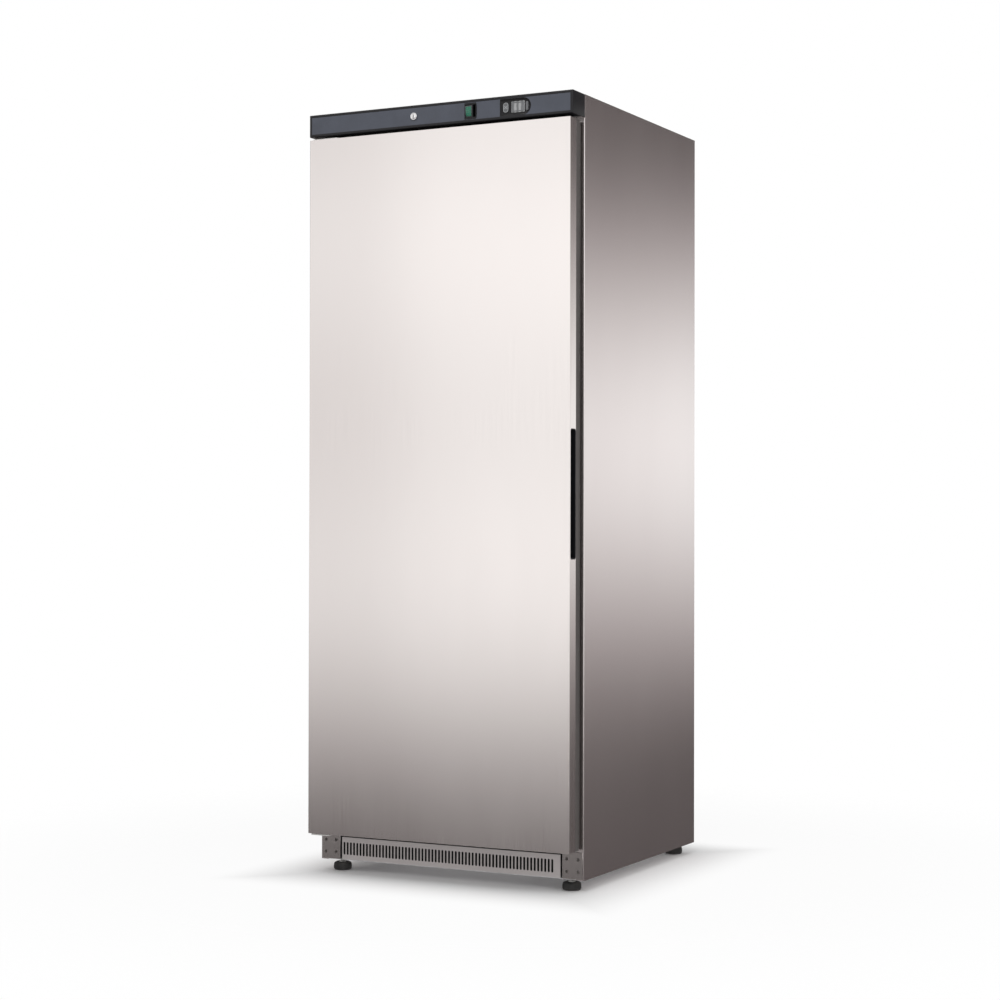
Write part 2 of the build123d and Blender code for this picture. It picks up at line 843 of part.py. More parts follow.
# Condenser: one serpentine tube in the rear recess with upright wires welded on both sides.
tube_y = y_back + sheet + condenser_stand
bend = condenser_pitch / 2
tail_x = condenser_half + bend + tail_gap
condenser_top = condenser_bottom + (condenser_passes - 1) * condenser_pitch
with BuildPart() as condenser:
    route = [(-tail_x, condenser_bottom - tail_drop)]
    route += bend_points(
        (-tail_x + tail_bend, condenser_bottom - tail_bend), tail_bend, 180, -90, tail_corners,
    )
    for i in range(1, condenser_passes):
        side = 1 if i % 2 else -1
        z = condenser_bottom + (i - 0.5) * condenser_pitch
        start = -90 if side > 0 else 270
        route += bend_points((side * condenser_half, z), bend, start, side * 180, bend_corners)
    route += bend_points(
        (tail_x - tail_bend, condenser_top - tail_bend), tail_bend, 90, -90, tail_corners,
    )
    route.append((tail_x, condenser_bottom - tail_bend))
    piped([(x, tube_y, z) for x, z in route], tube_radius)
    wire_low = condenser_bottom - 2 * tube_radius
    wire_gap = (2 * condenser_half - 2 * wire_margin) / (wire_count - 1)
    wire_places = [
        (-condenser_half + wire_margin + i * wire_gap,
         tube_y + side * (tube_radius + weld_gap + wire_size / 2))
        for i in range(wire_count) for side in (-1, 1)
    ]
    with BuildSketch(level(wire_low)):
        with Locations(*wire_places):
            Rectangle(wire_size, wire_size)
    extrude(amount=condenser_top + 2 * tube_radius - wire_low)
condenser.part.label = "condenser"
export_step(condenser.part, "parts/condenser.step")

# Condenser clips: standoffs on the back panel, between the wires.
clip_x = condenser_half - wire_margin - (clip_wire + 0.5) * wire_gap
with BuildPart() as condenser_clips:
    for i in clip_passes:
        z = condenser_bottom + i * condenser_pitch
        for side in (-1, 1):
            x = side * clip_x
            block(
                x - clip_width / 2, x + clip_width / 2,
                y_back + sheet, tube_y + clip_depth - 2 * tube_radius,
                z - clip_height / 2, z + clip_height / 2,
            )
            with BuildSketch(across(x - clip_width / 2)):
                with Locations((tube_y - tube_radius - running_gap + clip_depth / 2, z)):
                    Rectangle(clip_depth, 2 * (tube_radius + running_gap))
            extrude(amount=clip_width, mode=Mode.SUBTRACT)
condenser_clips.part.label = "condenser_clips"
export_step(condenser_clips.part, "parts/condenser_clips.step")

# Refrigerant lines: the discharge line to the condenser and the suction line from the foam.
tail_end = condenser_bottom - tail_drop
with BuildPart() as refrigerant_lines:
    for radius, corners in (
        (tube_radius, [
            (compressor_x - compressor_radius, compressor_y, line_level),
            (-tail_x, compressor_y, line_level),
            (-tail_x, tube_y, line_level),
            (-tail_x, tube_y, tail_end),
        ]),
        (suction_radius, [
            (compressor_x + compressor_radius, compressor_y, suction_level),
            (compressor_x + compressor_radius + suction_reach, compressor_y, suction_level),
            (compressor_x + compressor_radius + suction_reach, compressor_y, machine_top),
        ]),
    ):
        piped(cut_corners(corners, line_bend), radius)
refrigerant_lines.part.label = "refrigerant_lines"
export_step(refrigerant_lines.part, "parts/refrigerant_lines.step")

# Filter drier: a copper capsule on the end of the condenser, with its capillary to the foam.
drier_top = condenser_bottom - tail_bend
with BuildPart() as filter_drier:
    capillary_top = drier_top - drier_length
    turned(Plane(origin=(tail_x, tube_y, capillary_top)), [
        (tube_radius, 0),
        (drier_radius, drier_taper),
        (drier_radius, drier_length - drier_taper),
        (tube_radius, drier_length),
    ])
    corners = [
        (tail_x, tube_y, capillary_top),
        (tail_x, tube_y, capillary_top - capillary_drop),
        (tail_x, tube_y - capillary_reach, capillary_top - capillary_drop),
        (tail_x, tube_y - capillary_reach, machine_top),
    ]
    piped(cut_corners(corners, capillary_bend), capillary_radius)
filter_drier.part.label = "filter_drier"
export_step(filter_drier.part, "parts/filter_drier.step")

# Cable gland: the inlet for a mains lead, through the rear crossmember.
gland_z = rail_bottom + cross_size / 2
with BuildPart() as cable_gland:
    with BuildSketch(behind(cross_back - rail_sheet - gland_nut)):
        with Locations((-gland_x, gland_z)):
            disc(gland_stem)
    extrude(amount=rail_sheet + gland_nut)
    with BuildSketch(behind(cross_back)):
        with Locations((-gland_x, gland_z)):
            RegularPolygon(gland_radius, 6)
    extrude(amount=gland_hex)
    with BuildSketch(behind(cross_back)):
        with Locations((-gland_x, gland_z)):
            disc(gland_stem)
    extrude(amount=gland_height)
    with BuildSketch(behind(cross_back - rail_sheet - gland_nut)):
        with Locations((-gland_x, gland_z)):
            Circle(gland_bore)
    extrude(amount=rail_sheet + gland_nut + gland_height, mode=Mode.SUBTRACT)
cable_gland.part.label = "cable_gland"
export_step(cable_gland.part, "parts/cable_gland.step")

# Shelves: coated wire laid over a rod frame, resting on a pair of moulded ledges.
shelf_half = cavity_half - shelf_side_play
shelf_front = y_face + ledge_front
shelf_back = cavity_back - ledge_back
for number, ledge in enumerate(shelf_ledges, start=1):
    shelf_z = ledge_first + ledge * ledge_pitch + liner_wall
    with BuildPart() as shelf:
        with BuildSketch(level(shelf_z)):
            with Locations((0, (shelf_front + shelf_back) / 2)):
                eased(2 * shelf_half, shelf_back - shelf_front, shelf_corner)
                eased(
                    2 * (shelf_half - shelf_frame),
                    shelf_back - shelf_front - 2 * shelf_frame, shelf_corner - shelf_frame / 2,
                    mode=Mode.SUBTRACT,
                )
        extrude(amount=shelf_frame)
        for i in range(1, shelf_rods + 1):
            y = shelf_front + i * (shelf_back - shelf_front) / (shelf_rods + 1)
            block(
                -shelf_half + shelf_frame, shelf_half - shelf_frame,
                y - shelf_frame / 2, y + shelf_frame / 2, shelf_z, shelf_z + shelf_frame,
            )
        wire_z = shelf_z + shelf_frame + weld_gap + shelf_wire / 2
        pitch = 2 * (shelf_half - shelf_frame) / (shelf_wires + 1)
        with BuildSketch(facing(shelf_front + shelf_wire_end)):
            with Locations((0, wire_z)):
                with GridLocations(pitch, 1, shelf_wires, 1):
                    Rectangle(shelf_wire, shelf_wire)
        extrude(amount=-(shelf_back - shelf_front - 2 * shelf_wire_end))
    shelf.part.label = f"shelf_{number}"
    export_step(shelf.part, f"parts/shelf_{number}.step")

# Evaporator cover: a tray under the ceiling with the fan ring and guard in its front.
cover_front = cavity_back - cover_depth
cover_bottom = cavity_top - cover_height
fan_z = cavity_top - cover_height / 2
cover_back = cavity_back - liner_corner
with BuildPart() as evaporator_cover:
    block(-cover_half, cover_half, cover_front, cover_back, cover_bottom, cavity_top)
    block(
        -cover_half + cover_wall, cover_half - cover_wall,
        cover_front + cover_wall, cover_back, cover_bottom + cover_wall, cavity_top,
        mode=Mode.SUBTRACT,
    )
    with BuildSketch(facing(cover_front)):
        with Locations((fan_x, fan_z)):
            disc(fan_radius, wide_sides)
    extrude(amount=-cover_wall, mode=Mode.SUBTRACT)
    with BuildSketch(facing(cover_front)):
        with Locations((fan_x, fan_z)):
            for i in range(guard_rings):
                ring = fan_radius * (i + 1) / (guard_rings + 0.5)
                disc(ring, wide_sides)
                RegularPolygon(ring - guard_wire, wide_sides, mode=Mode.SUBTRACT)
            with PolarLocations(0, 4):
                with Locations((fan_radius / 2 + guard_wire, 0)):
                    Rectangle(fan_radius - guard_wire, guard_wire)
            disc(guard_boss)
    extrude(amount=-cover_wall)
    with BuildSketch(level(cover_bottom)):
        with Locations((0, cavity_back - cover_slot_length)):
            with GridLocations(cover_slot_pitch, 1, cover_slots, 1):
                Rectangle(cover_slot_width, cover_slot_length)
    extrude(amount=cover_wall, mode=Mode.SUBTRACT)
evaporator_cover.part.label = "evaporator_cover"
export_step(evaporator_cover.part, "parts/evaporator_cover.step")

# Fan motor: a small motor on a pedestal behind the guard, with its shaft towards the door.
rotor_front = cover_front + cover_wall + rotor_gap
motor_front = rotor_front + rotor_depth + rotor_gap
with BuildPart() as fan_motor:
    turned(Plane(origin=(fan_x, motor_front, fan_z), z_dir=(0, 1, 0)), [
        (motor_radius, 0),
        (motor_radius, motor_depth - motor_chamfer),
        (motor_radius - motor_chamfer, motor_depth),
    ], wide_sides)
    with BuildSketch(facing(motor_front)):
        with Locations((fan_x, fan_z)):
            disc(shaft_radius)
    extrude(amount=rotor_gap + rotor_depth - rotor_nose)
    block(
        fan_x - pedestal / 2, fan_x + pedestal / 2,
        motor_front + pedestal_inset, motor_front + motor_depth - pedestal_inset,
        cover_bottom + cover_wall, fan_z - motor_radius + pedestal_sink,
    )
fan_motor.part.label = "fan_motor"
export_step(fan_motor.part, "parts/fan_motor.step")

# Fan rotor: a hub with pitched blades on the motor shaft.
with BuildPart() as fan_rotor:
    with BuildSketch(facing(rotor_front)):
        with Locations((fan_x, fan_z)):
            disc(rotor_hub, wide_sides)
    extrude(amount=-rotor_depth)
    blade_radius = fan_radius - blade_gap
    rise, run = sin(radians(blade_pitch)), cos(radians(blade_pitch))
    for i in range(blade_count):
        turn = radians(360 * i / blade_count)
        pitched = Plane(
            origin=(fan_x, rotor_front + rotor_depth / 2, fan_z),
            x_dir=(cos(turn), 0, sin(turn)),
            z_dir=(-sin(turn) * rise, -run, cos(turn) * rise),
        )
        with BuildSketch(pitched.offset(-blade_sheet / 2)):
            outline(
                [(rotor_hub - blade_root, -blade_width * blade_neck)]
                + [(blade_radius * reach, blade_width * share) for reach, share in blade_edge]
                + [(rotor_hub - blade_root, blade_width * blade_neck)]
            )
        extrude(amount=blade_sheet)
    with BuildSketch(facing(rotor_front + rotor_nose)):
        with Locations((fan_x, fan_z)):
            bore(shaft_radius + running_gap)
    extrude(amount=-rotor_depth, mode=Mode.SUBTRACT)
fan_rotor.part.label = "fan_rotor"
export_step(fan_rotor.part, "parts/fan_rotor.step")

# Evaporator: a finned block hung from the ceiling behind the fan.
coil_front = motor_front + motor_depth + coil_gap
with BuildPart() as evaporator:
    fin_step = 2 * coil_half / (fin_count - 1)
    with BuildSketch(facing(coil_front)):
        with Locations((0, cavity_top - coil_height / 2)):
            Rectangle(2 * coil_half, coil_core)
            with GridLocations(fin_step, 1, fin_count, 1):
                Rectangle(fin_sheet, coil_height)
    extrude(amount=-coil_depth)
evaporator.part.label = "evaporator"
export_step(evaporator.part, "parts/evaporator.step")

# Temperature probe: a metal capsule in a clip under the front of the cover.
with BuildPart() as temperature_probe:
    probe_x = cover_half * probe_share
    probe_z = cover_bottom - probe_clip / 2
    probe_y = cover_front + probe_clip
    block(
        probe_x - probe_clip / 2, probe_x + probe_clip / 2,
        probe_y - probe_clip / 2, probe_y + probe_clip / 2, cover_bottom - probe_clip, cover_bottom,
    )
    with BuildSketch(across(probe_x - probe_length / 2)):
        with Locations((probe_y, probe_z)):
            disc(probe_radius)
    extrude(amount=probe_length)
temperature_probe.part.label = "temperature_probe"
export_step(temperature_probe.part, "parts/temperature_probe.step")


def switch_outline(grow):
    """Switch opening seen from the front: square at the left, bulged at the right."""
    left = switch_x - switch_width / 2 - grow
    right = switch_x + switch_width / 2 - switch_bulge + grow
    top = fascia_middle + switch_height / 2 + grow
    bottom = fascia_middle - switch_height / 2 - grow
    return [(right, bottom), (left, bottom), (left, top), (right, top)]


def control_outline(grow):
    """Controller opening seen from the front: its right end is a half circle."""
    half = control_height / 2 + grow
    left = control_x - control_width / 2 - grow
    right = control_x + control_width / 2 - control_height / 2
    return [(right, fascia_middle - half), (left, fascia_middle - half),
            (left, fascia_middle + half), (right, fascia_middle + half)]


def bulged(corners, reach):
    """Face with three straight sides whose right side bows out by reach, in short flats."""
    low, high = corners[0], corners[3]
    half = (high[1] - low[1]) / 2
    bow = [
        (low[0] + reach * cos(a), low[1] + half + half * sin(a))
        for a in (radians(90 - 180 * i / bow_flats) for i in range(1, bow_flats))
    ]
    return Polygon(*(corners[1:3] + [high] + bow + [low]), align=None, mode=Mode.PRIVATE)


switch_face = bulged(switch_outline(0), switch_bulge)
switch_hole = bulged(switch_outline(-switch_bezel), switch_bulge)
control_face = bulged(control_outline(0), control_height / 2)
control_dish_face = bulged(control_outline(-control_wall), control_height / 2 - control_wall)

# Fascia: a hollow black moulding over the door, open at the rear, with a shallow front recess.
cam_front = y_fascia + lock_length + cam_gap
cam_slot_reach = (cam_length ** 2 - (fascia_middle - fascia_bottom - fascia_wall) ** 2) ** 0.5
with BuildPart() as fascia:
    with BuildSketch(facing(y_face)):
        with Locations((0, fascia_middle)):
            Rectangle(width, height - fascia_bottom)
    extrude(amount=y_face - y_fascia)
    front = fascia.faces().sort_by(Axis.Y)[0]
    chamfer(front.edges().filter_by(Axis.Z), length=fascia_edge)
    block(
        -x_side + fascia_wall, x_side - fascia_wall, y_fascia + fascia_wall, y_face,
        fascia_bottom + fascia_wall, height - fascia_wall, mode=Mode.SUBTRACT,
    )
    with BuildSketch(facing(y_fascia)):
        with Locations((0, fascia_middle)):
            Rectangle(width - 2 * fascia_rim, height - fascia_bottom - 2 * fascia_rim)
    extrude(amount=-face_plate, mode=Mode.SUBTRACT)
    with BuildSketch(facing(y_fascia)):
        with Locations((lock_x, fascia_middle)):
            bore(lock_body_radius, wide_sides)
        add(switch_hole)
        add(control_face)
    extrude(amount=-fascia_wall, mode=Mode.SUBTRACT)
    block(
        lock_x - cam_width / 2 - cam_play, lock_x + cam_slot_reach + cam_play,
        cam_front - cam_play, cam_front + cam_sheet + cam_play,
        fascia_bottom, fascia_bottom + fascia_wall, mode=Mode.SUBTRACT,
    )
    block(
        upper_leg_x - upper_plate_width / 2 - fascia_play,
        upper_leg_x + upper_plate_width / 2 + fascia_play,
        y_face - hinge_plate - screw_head_height - fascia_play, y_face,
        fascia_bottom, fascia_bottom + fascia_wall, mode=Mode.SUBTRACT,
    )
fascia.part.label = "fascia"
export_step(fascia.part, "parts/fascia.step")

# Fascia face: a flat plate let into the front of the fascia.
with BuildPart() as fascia_face:
    with BuildSketch(facing(y_fascia)):
        with Locations((0, fascia_middle)):
            Rectangle(width - 2 * fascia_rim, height - fascia_bottom - 2 * fascia_rim)
        with Locations((lock_x, fascia_middle)):
            bore(lock_body_radius, wide_sides, mode=Mode.SUBTRACT)
        add(switch_hole, mode=Mode.SUBTRACT)
        add(control_face, mode=Mode.SUBTRACT)
    extrude(amount=-face_plate)
fascia_face.part.label = "fascia_face"
export_step(fascia_face.part, "parts/fascia_face.step")

# Fascia strip: the stainless strip that the fascia stands on, beside the upper hinge.
with BuildPart() as fascia_strip:
    hinge_side = upper_leg_x + upper_plate_width / 2 + fascia_play
    block(
        hinge_side, x_side, y_door + strip_front, y_face,
        fascia_bottom - strip_sheet, fascia_bottom,
    )
fascia_strip.part.label = "fascia_strip"
export_step(fascia_strip.part, "parts/fascia_strip.step")

# Lock body: a chromed barrel clamped in the fascia by a nut.
with BuildPart() as lock_body:
    with BuildSketch(facing(y_fascia + lock_length)):
        with Locations((lock_x, fascia_middle)):
            disc(lock_body_radius, wide_sides)
    extrude(amount=lock_length)
    turned(Plane(origin=(lock_x, y_fascia, fascia_middle), z_dir=(0, -1, 0)), [
        (lock_head_radius, 0),
        (lock_head_radius, lock_head_reach - lock_chamfer),
        (lock_head_radius - lock_chamfer, lock_head_reach),
    ], wide_sides)
    with BuildSketch(facing(y_fascia + fascia_wall)):
        with Locations((lock_x, fascia_middle)):
            RegularPolygon(nut_radius, 6)
    extrude(amount=-nut_depth)
    with BuildSketch(facing(y_fascia + lock_length)):
        with Locations((lock_x, fascia_middle)):
            bore(plug_radius + running_gap, wide_sides)
    extrude(amount=lock_length + lock_head_reach, mode=Mode.SUBTRACT)
lock_body.part.label = "lock_body"
export_step(lock_body.part, "parts/lock_body.step")

# Lock plug: it turns in the barrel and swings a flat cam down into a slot in the door's top.
with BuildPart() as lock_plug:
    plug_front = y_fascia - lock_head_reach - plug_reach
    with BuildSketch(facing(cam_front + cam_sheet)):
        with Locations((lock_x, fascia_middle)):
            disc(plug_radius, wide_sides)
    extrude(amount=cam_front + cam_sheet - plug_front)
    with BuildSketch(facing(plug_front)):
        with Locations((lock_x, fascia_middle)):
            Rectangle(key_slot, key_slot_width)
    extrude(amount=-key_slot_depth, mode=Mode.SUBTRACT)
    with BuildSketch(facing(cam_front)):
        with Locations((lock_x + cam_length / 2, fascia_middle)):
            eased(cam_length, cam_width, cam_width / 4)
    extrude(amount=-cam_sheet)
lock_plug.part.label = "lock_plug"
export_step(lock_plug.part, "parts/lock_plug.step")

# Switch housing: a black bezel and body with one pocket for the rocker and a dark side recess.
rocker_x = switch_x + rocker_shift
rocker_y = y_fascia + rocker_pivot
pocket_half_x = rocker_width / 2 + rocker_play
pocket_half_z = rocker_height / 2 + rocker_play
with BuildPart() as switch_housing:
    with BuildSketch(facing(y_fascia)):
        add(switch_face)
    extrude(amount=switch_bezel)
    with BuildSketch(facing(y_fascia)):
        add(switch_hole)
    extrude(amount=-switch_body)
    with BuildSketch(facing(y_fascia - switch_bezel)):
        with Locations((rocker_x, fascia_middle)):
            Rectangle(2 * pocket_half_x, 2 * pocket_half_z)
    extrude(amount=-pocket_depth, mode=Mode.SUBTRACT)
    with BuildSketch(facing(y_fascia - switch_bezel)):
        side_left = rocker_x + pocket_half_x + rocker_pin_reach + side_pocket_wall
        side_right = switch_x + switch_width / 2 - switch_bezel - side_pocket_edge
        with Locations(((side_left + side_right) / 2, fascia_middle)):
            Rectangle(side_right - side_left, 2 * pocket_half_z)
    extrude(amount=-side_pocket_depth, mode=Mode.SUBTRACT)
    with BuildSketch(across(rocker_x - pocket_half_x - rocker_pin_reach)):
        with Locations((rocker_y, fascia_middle)):
            bore(rocker_pin + running_gap, screw_sides)
    extrude(amount=2 * (pocket_half_x + rocker_pin_reach), mode=Mode.SUBTRACT)
switch_housing.part.label = "switch_housing"
export_step(switch_housing.part, "parts/switch_housing.step")

# Rocker: the green switch lens, pressed in at the top when on, on two pivot pins.
with BuildPart() as rocker:
    tilt = Plane(origin=(rocker_x - rocker_width / 2, rocker_y, fascia_middle),
                 x_dir=(0, cos(radians(rocker_throw)), sin(radians(rocker_throw))),
                 z_dir=(1, 0, 0))
    half = rocker_height / 2 - rocker_play
    with BuildSketch(tilt):
        outline([
            (-rocker_edge, half),
            (-rocker_crown, 0),
            (-rocker_edge, -half),
            (rocker_back, -rocker_foot),
            (rocker_back, rocker_foot),
        ])
    extrude(amount=rocker_width)
    with BuildSketch(across(rocker_x - pocket_half_x - rocker_pin_reach + running_gap)):
        with Locations((rocker_y, fascia_middle)):
            disc(rocker_pin, screw_sides)
    extrude(amount=2 * (pocket_half_x + rocker_pin_reach - running_gap))
rocker.part.label = "rocker"
export_step(rocker.part, "parts/rocker.step")

# Controller case: a dished black housing with openings for the display and two buttons.
dish_floor = y_fascia + control_dish
with BuildPart() as controller_case:
    with BuildSketch(facing(y_fascia)):
        add(control_face)
    extrude(amount=-control_body)
    with BuildSketch(facing(y_fascia)):
        add(control_dish_face)
    extrude(amount=-control_dish, mode=Mode.SUBTRACT)
    with BuildSketch(facing(dish_floor + control_wall)):
        add(control_dish_face)
    extrude(amount=-control_body, mode=Mode.SUBTRACT)
    with BuildSketch(facing(dish_floor)):
        with Locations((display_x, fascia_middle)):
            Rectangle(display_width, display_height)
        with Locations((set_button_x, fascia_middle)):
            eased(
                set_button_width + 2 * button_play, set_button_height + 2 * button_play,
                button_corner,
            )
        with Locations((light_button_x, fascia_middle)):
            eased(
                light_button_width + 2 * button_play, light_button_height + 2 * button_play,
                button_corner,
            )
    extrude(amount=-control_wall, mode=Mode.SUBTRACT)
controller_case.part.label = "controller_case"
export_step(controller_case.part, "parts/controller_case.step")

# Display lens: a smoked window over the figures, a step proud of the dish.
with BuildPart() as display_lens:
    with BuildSketch(facing(dish_floor + control_wall)):
        with Locations((display_x, fascia_middle)):
            Rectangle(display_width, display_height)
    extrude(amount=control_wall + display_reach)
display_lens.part.label = "display_lens"
export_step(display_lens.part, "parts/display_lens.step")

# Buttons: caps that slide in the dish, each kept in by a flange behind it.
for name, x, wide, tall in (
    ("set_button", set_button_x, set_button_width, set_button_height),
    ("light_button", light_button_x, light_button_width, light_button_height),
):
    with BuildPart() as button:
        with BuildSketch(facing(dish_floor + control_wall + running_gap)):
            with Locations((x, fascia_middle)):
                eased(wide, tall, button_corner)
        extrude(amount=control_wall + running_gap + button_reach)
        with BuildSketch(facing(dish_floor + control_wall + running_gap)):
            with Locations((x, fascia_middle)):
                Rectangle(wide + 2 * button_flange, tall + 2 * button_flange)
        extrude(amount=-button_flange)
    button.part.label = name
    export_step(button.part, f"parts/{name}.step")

# Upper hinge plate: a stainless angle over the door, its leg screwed to the front frame.
with BuildPart() as upper_hinge_plate:
    plate_left = upper_leg_x - upper_plate_width / 2
    plate_right = upper_leg_x + upper_plate_width / 2
    block(
        plate_left, plate_right, y_door + upper_plate_front, y_face,
        upper_plate_bottom, upper_plate_top,
    )
    nose = upper_hinge_plate.edges().filter_by(Axis.Z).group_by(Axis.Y)[0]
    chamfer(nose, length=plate_corner)
    block(
        plate_left, plate_right, y_face - hinge_plate, y_face,
        upper_plate_bottom, upper_plate_bottom + upper_leg,
    )
    with BuildSketch(level(upper_plate_bottom)):
        with Locations((pin_x, pin_y)):
            bore(pin_radius)
    extrude(amount=hinge_plate, mode=Mode.SUBTRACT)
    with BuildSketch(facing(y_face)):
        with Locations(*leg_screws):
            bore(screw_shank, screw_sides)
    extrude(amount=hinge_plate, mode=Mode.SUBTRACT)
upper_hinge_plate.part.label = "upper_hinge_plate"
export_step(upper_hinge_plate.part, "parts/upper_hinge_plate.step")

# Lower hinge bracket and its blank twin: pressed stainless plates over the grille's ends.
for name, side in (("lower_hinge_bracket", -1), ("blank_bracket", 1)):
    with BuildPart() as bracket:
        x = side * bracket_x
        with BuildSketch(facing(y_face)):
            with Locations((x, bracket_z)):
                Rectangle(bracket_width, bracket_top - bracket_bottom)
        extrude(amount=bracket_sheet)
        with BuildSketch(facing(y_bracket)):
            with Locations((x, bracket_z)):
                Rectangle(bracket_pad, bracket_pad)
        extrude(amount=bracket_boss, taper=boss_taper)
        with BuildSketch(facing(y_face)):
            with Locations(*screw_grid):
                bore(screw_shank, screw_sides)
        extrude(amount=bracket_sheet, mode=Mode.SUBTRACT)
        if side < 0:
            block(
                x - bracket_width / 2, x + bracket_width / 2,
                y_door + lower_plate_front, y_face, bracket_top, bracket_top + hinge_plate,
            )
            nose = bracket.faces().sort_by(Axis.Y)[0].edges().filter_by(Axis.Z)
            chamfer(nose, length=plate_corner)
            with BuildSketch(level(bracket_top)):
                with Locations((pin_x, pin_y)):
                    bore(pin_radius)
            extrude(amount=hinge_plate, mode=Mode.SUBTRACT)
    bracket.part.label = name
    export_step(bracket.part, f"parts/{name}.step")

# Hinge pins: one up from the lower bracket, with a washer under the door, one down from above.
bush_bottom = door_bottom - bush_flange_height
with BuildPart() as hinge_pins:
    with BuildSketch(level(bracket_top)):
        with Locations((pin_x, pin_y)):
            disc(pin_radius)
    extrude(amount=door_bottom + pin_reach - bracket_top)
    with BuildSketch(level(bracket_top + hinge_plate)):
        with Locations((pin_x, pin_y)):
            disc(washer_radius)
    extrude(amount=bush_bottom - running_gap - bracket_top - hinge_plate)
    with BuildSketch(level(door_top - pin_reach)):
        with Locations((pin_x, pin_y)):
            disc(pin_radius)
    extrude(amount=upper_plate_top - door_top + pin_reach)
hinge_pins.part.label = "hinge_pins"
export_step(hinge_pins.part, "parts/hinge_pins.step")

# Hinge screws: pan heads on both brackets and on the leg of the upper plate.
with BuildPart() as hinge_screws:
    for y_seat, grip, places in (
        (y_bracket, bracket_sheet + sheet + rail_sheet, screw_grid),
        (y_face - hinge_plate, hinge_plate + sheet, leg_screws),
    ):
        with BuildSketch(facing(y_seat)):
            with Locations(*places):
                disc(screw_head, screw_sides)
        extrude(amount=screw_head_height, taper=screw_taper)
        with BuildSketch(facing(y_seat)):
            with Locations(*places):
                disc(screw_shank, screw_sides)
        extrude(amount=-grip)
hinge_screws.part.label = "hinge_screws"
export_step(hinge_screws.part, "parts/hinge_screws.step")

# Grille: a folded strip with a row of upright round-ended slots.
with BuildPart() as grille:
    grille_top = sill - sheet
    with BuildSketch(across(-grille_half)):
        outline([
            (y_face - grille_sheet, grille_bottom),
            (y_face + grille_lip, grille_bottom),
            (y_face + grille_lip, grille_bottom + grille_sheet),
            (y_face, grille_bottom + grille_sheet),
            (y_face, grille_top - grille_sheet),
            (y_face + grille_lip, grille_top - grille_sheet),
            (y_face + grille_lip, grille_top),
            (y_face - grille_sheet, grille_top),
        ])
    extrude(amount=2 * grille_half)
    with BuildSketch(facing(y_face)):
        with Locations((slot_shift, slot_level)):
            with GridLocations(slot_pitch, 1, slot_count, 1):
                eased(slot_width, slot_height, slot_corner)
    extrude(amount=grille_sheet, mode=Mode.SUBTRACT)
grille.part.label = "grille"
export_step(grille.part, "parts/grille.step")


def door_section(inset):
    """Plan of the door's filling; behind the return it stands in from the sides by inset."""
    skin_half = door_half - door_sheet
    lip_front = y_door + door_return - door_sheet
    corners = [
        (skin_half, y_door + door_sheet),
        (skin_half, lip_front),
        (skin_half - door_lip, lip_front),
        (skin_half - door_lip, y_door + door_return),
        (door_half - inset, y_door + door_return),
        (door_half - inset, y_liner),
    ]
    outline(corners + [(-x, y) for x, y in reversed(corners)])


def grip_profile(shrink):
    """Side view of the grip moulding."""
    tall = grip_top - grip_bottom - 2 * shrink
    deep = door_return - door_sheet - grip_front - 2 * shrink
    middle = y_door + (grip_front + door_return - door_sheet) / 2
    with Locations((middle, (grip_bottom + grip_top) / 2)):
        eased(deep, tall, grip_corner - shrink)


# Door skin: one stainless sheet folded back at both sides and hemmed behind.
foam_corner = door_corner / 2
door_height = door_top - door_bottom
door_middle = (door_bottom + door_top) / 2
with BuildPart() as door_skin:
    with BuildSketch(level(door_bottom)) as skin_plan:
        with Locations((0, y_door + door_return / 2)):
            Rectangle(2 * door_half, door_return)
        fillet(skin_plan.vertices().group_by(Axis.Y)[0], radius=door_corner)
    extrude(amount=door_height)
    with BuildSketch(level(door_bottom)) as skin_hollow:
        with Locations((0, y_door + door_return / 2)):
            Rectangle(2 * (door_half - door_sheet), door_return - 2 * door_sheet)
        chamfer(skin_hollow.vertices().group_by(Axis.Y)[0], length=foam_corner)
        with Locations((0, y_door + door_return - door_sheet / 2)):
            Rectangle(2 * (door_half - door_sheet - door_lip), door_sheet)
    extrude(amount=door_height, mode=Mode.SUBTRACT)
    with BuildSketch(across(door_half - door_sheet)):
        grip_profile(0)
    extrude(amount=door_sheet, mode=Mode.SUBTRACT)
door_skin.part.label = "door_skin"
export_step(door_skin.part, "parts/door_skin.step")

# Grip: a black moulded pocket let into the right-hand return of the door.
with BuildPart() as grip_pocket:
    with BuildSketch(across(door_half - grip_depth)):
        grip_profile(0)
    extrude(amount=grip_depth)
    with BuildSketch(across(door_half - grip_depth + grip_wall)):
        grip_profile(grip_wall)
    extrude(amount=grip_depth, mode=Mode.SUBTRACT)
grip_pocket.part.label = "grip_pocket"
export_step(grip_pocket.part, "parts/grip_pocket.step")

# Door foam: the insulation between the skin, the caps, the edge strips and the door liner.
with BuildPart() as door_foam:
    with BuildSketch(level(door_bottom + cap_height)) as foam_plan:
        door_section(edge_inset + edge_width)
        chamfer(foam_plan.vertices().group_by(Axis.Y)[0], length=foam_corner)
    extrude(amount=door_height - 2 * cap_height)
    with BuildSketch(across(door_half - grip_depth)):
        grip_profile(0)
    extrude(amount=grip_depth, mode=Mode.SUBTRACT)
door_foam.part.label = "door_foam"
export_step(door_foam.part, "parts/door_foam.step")

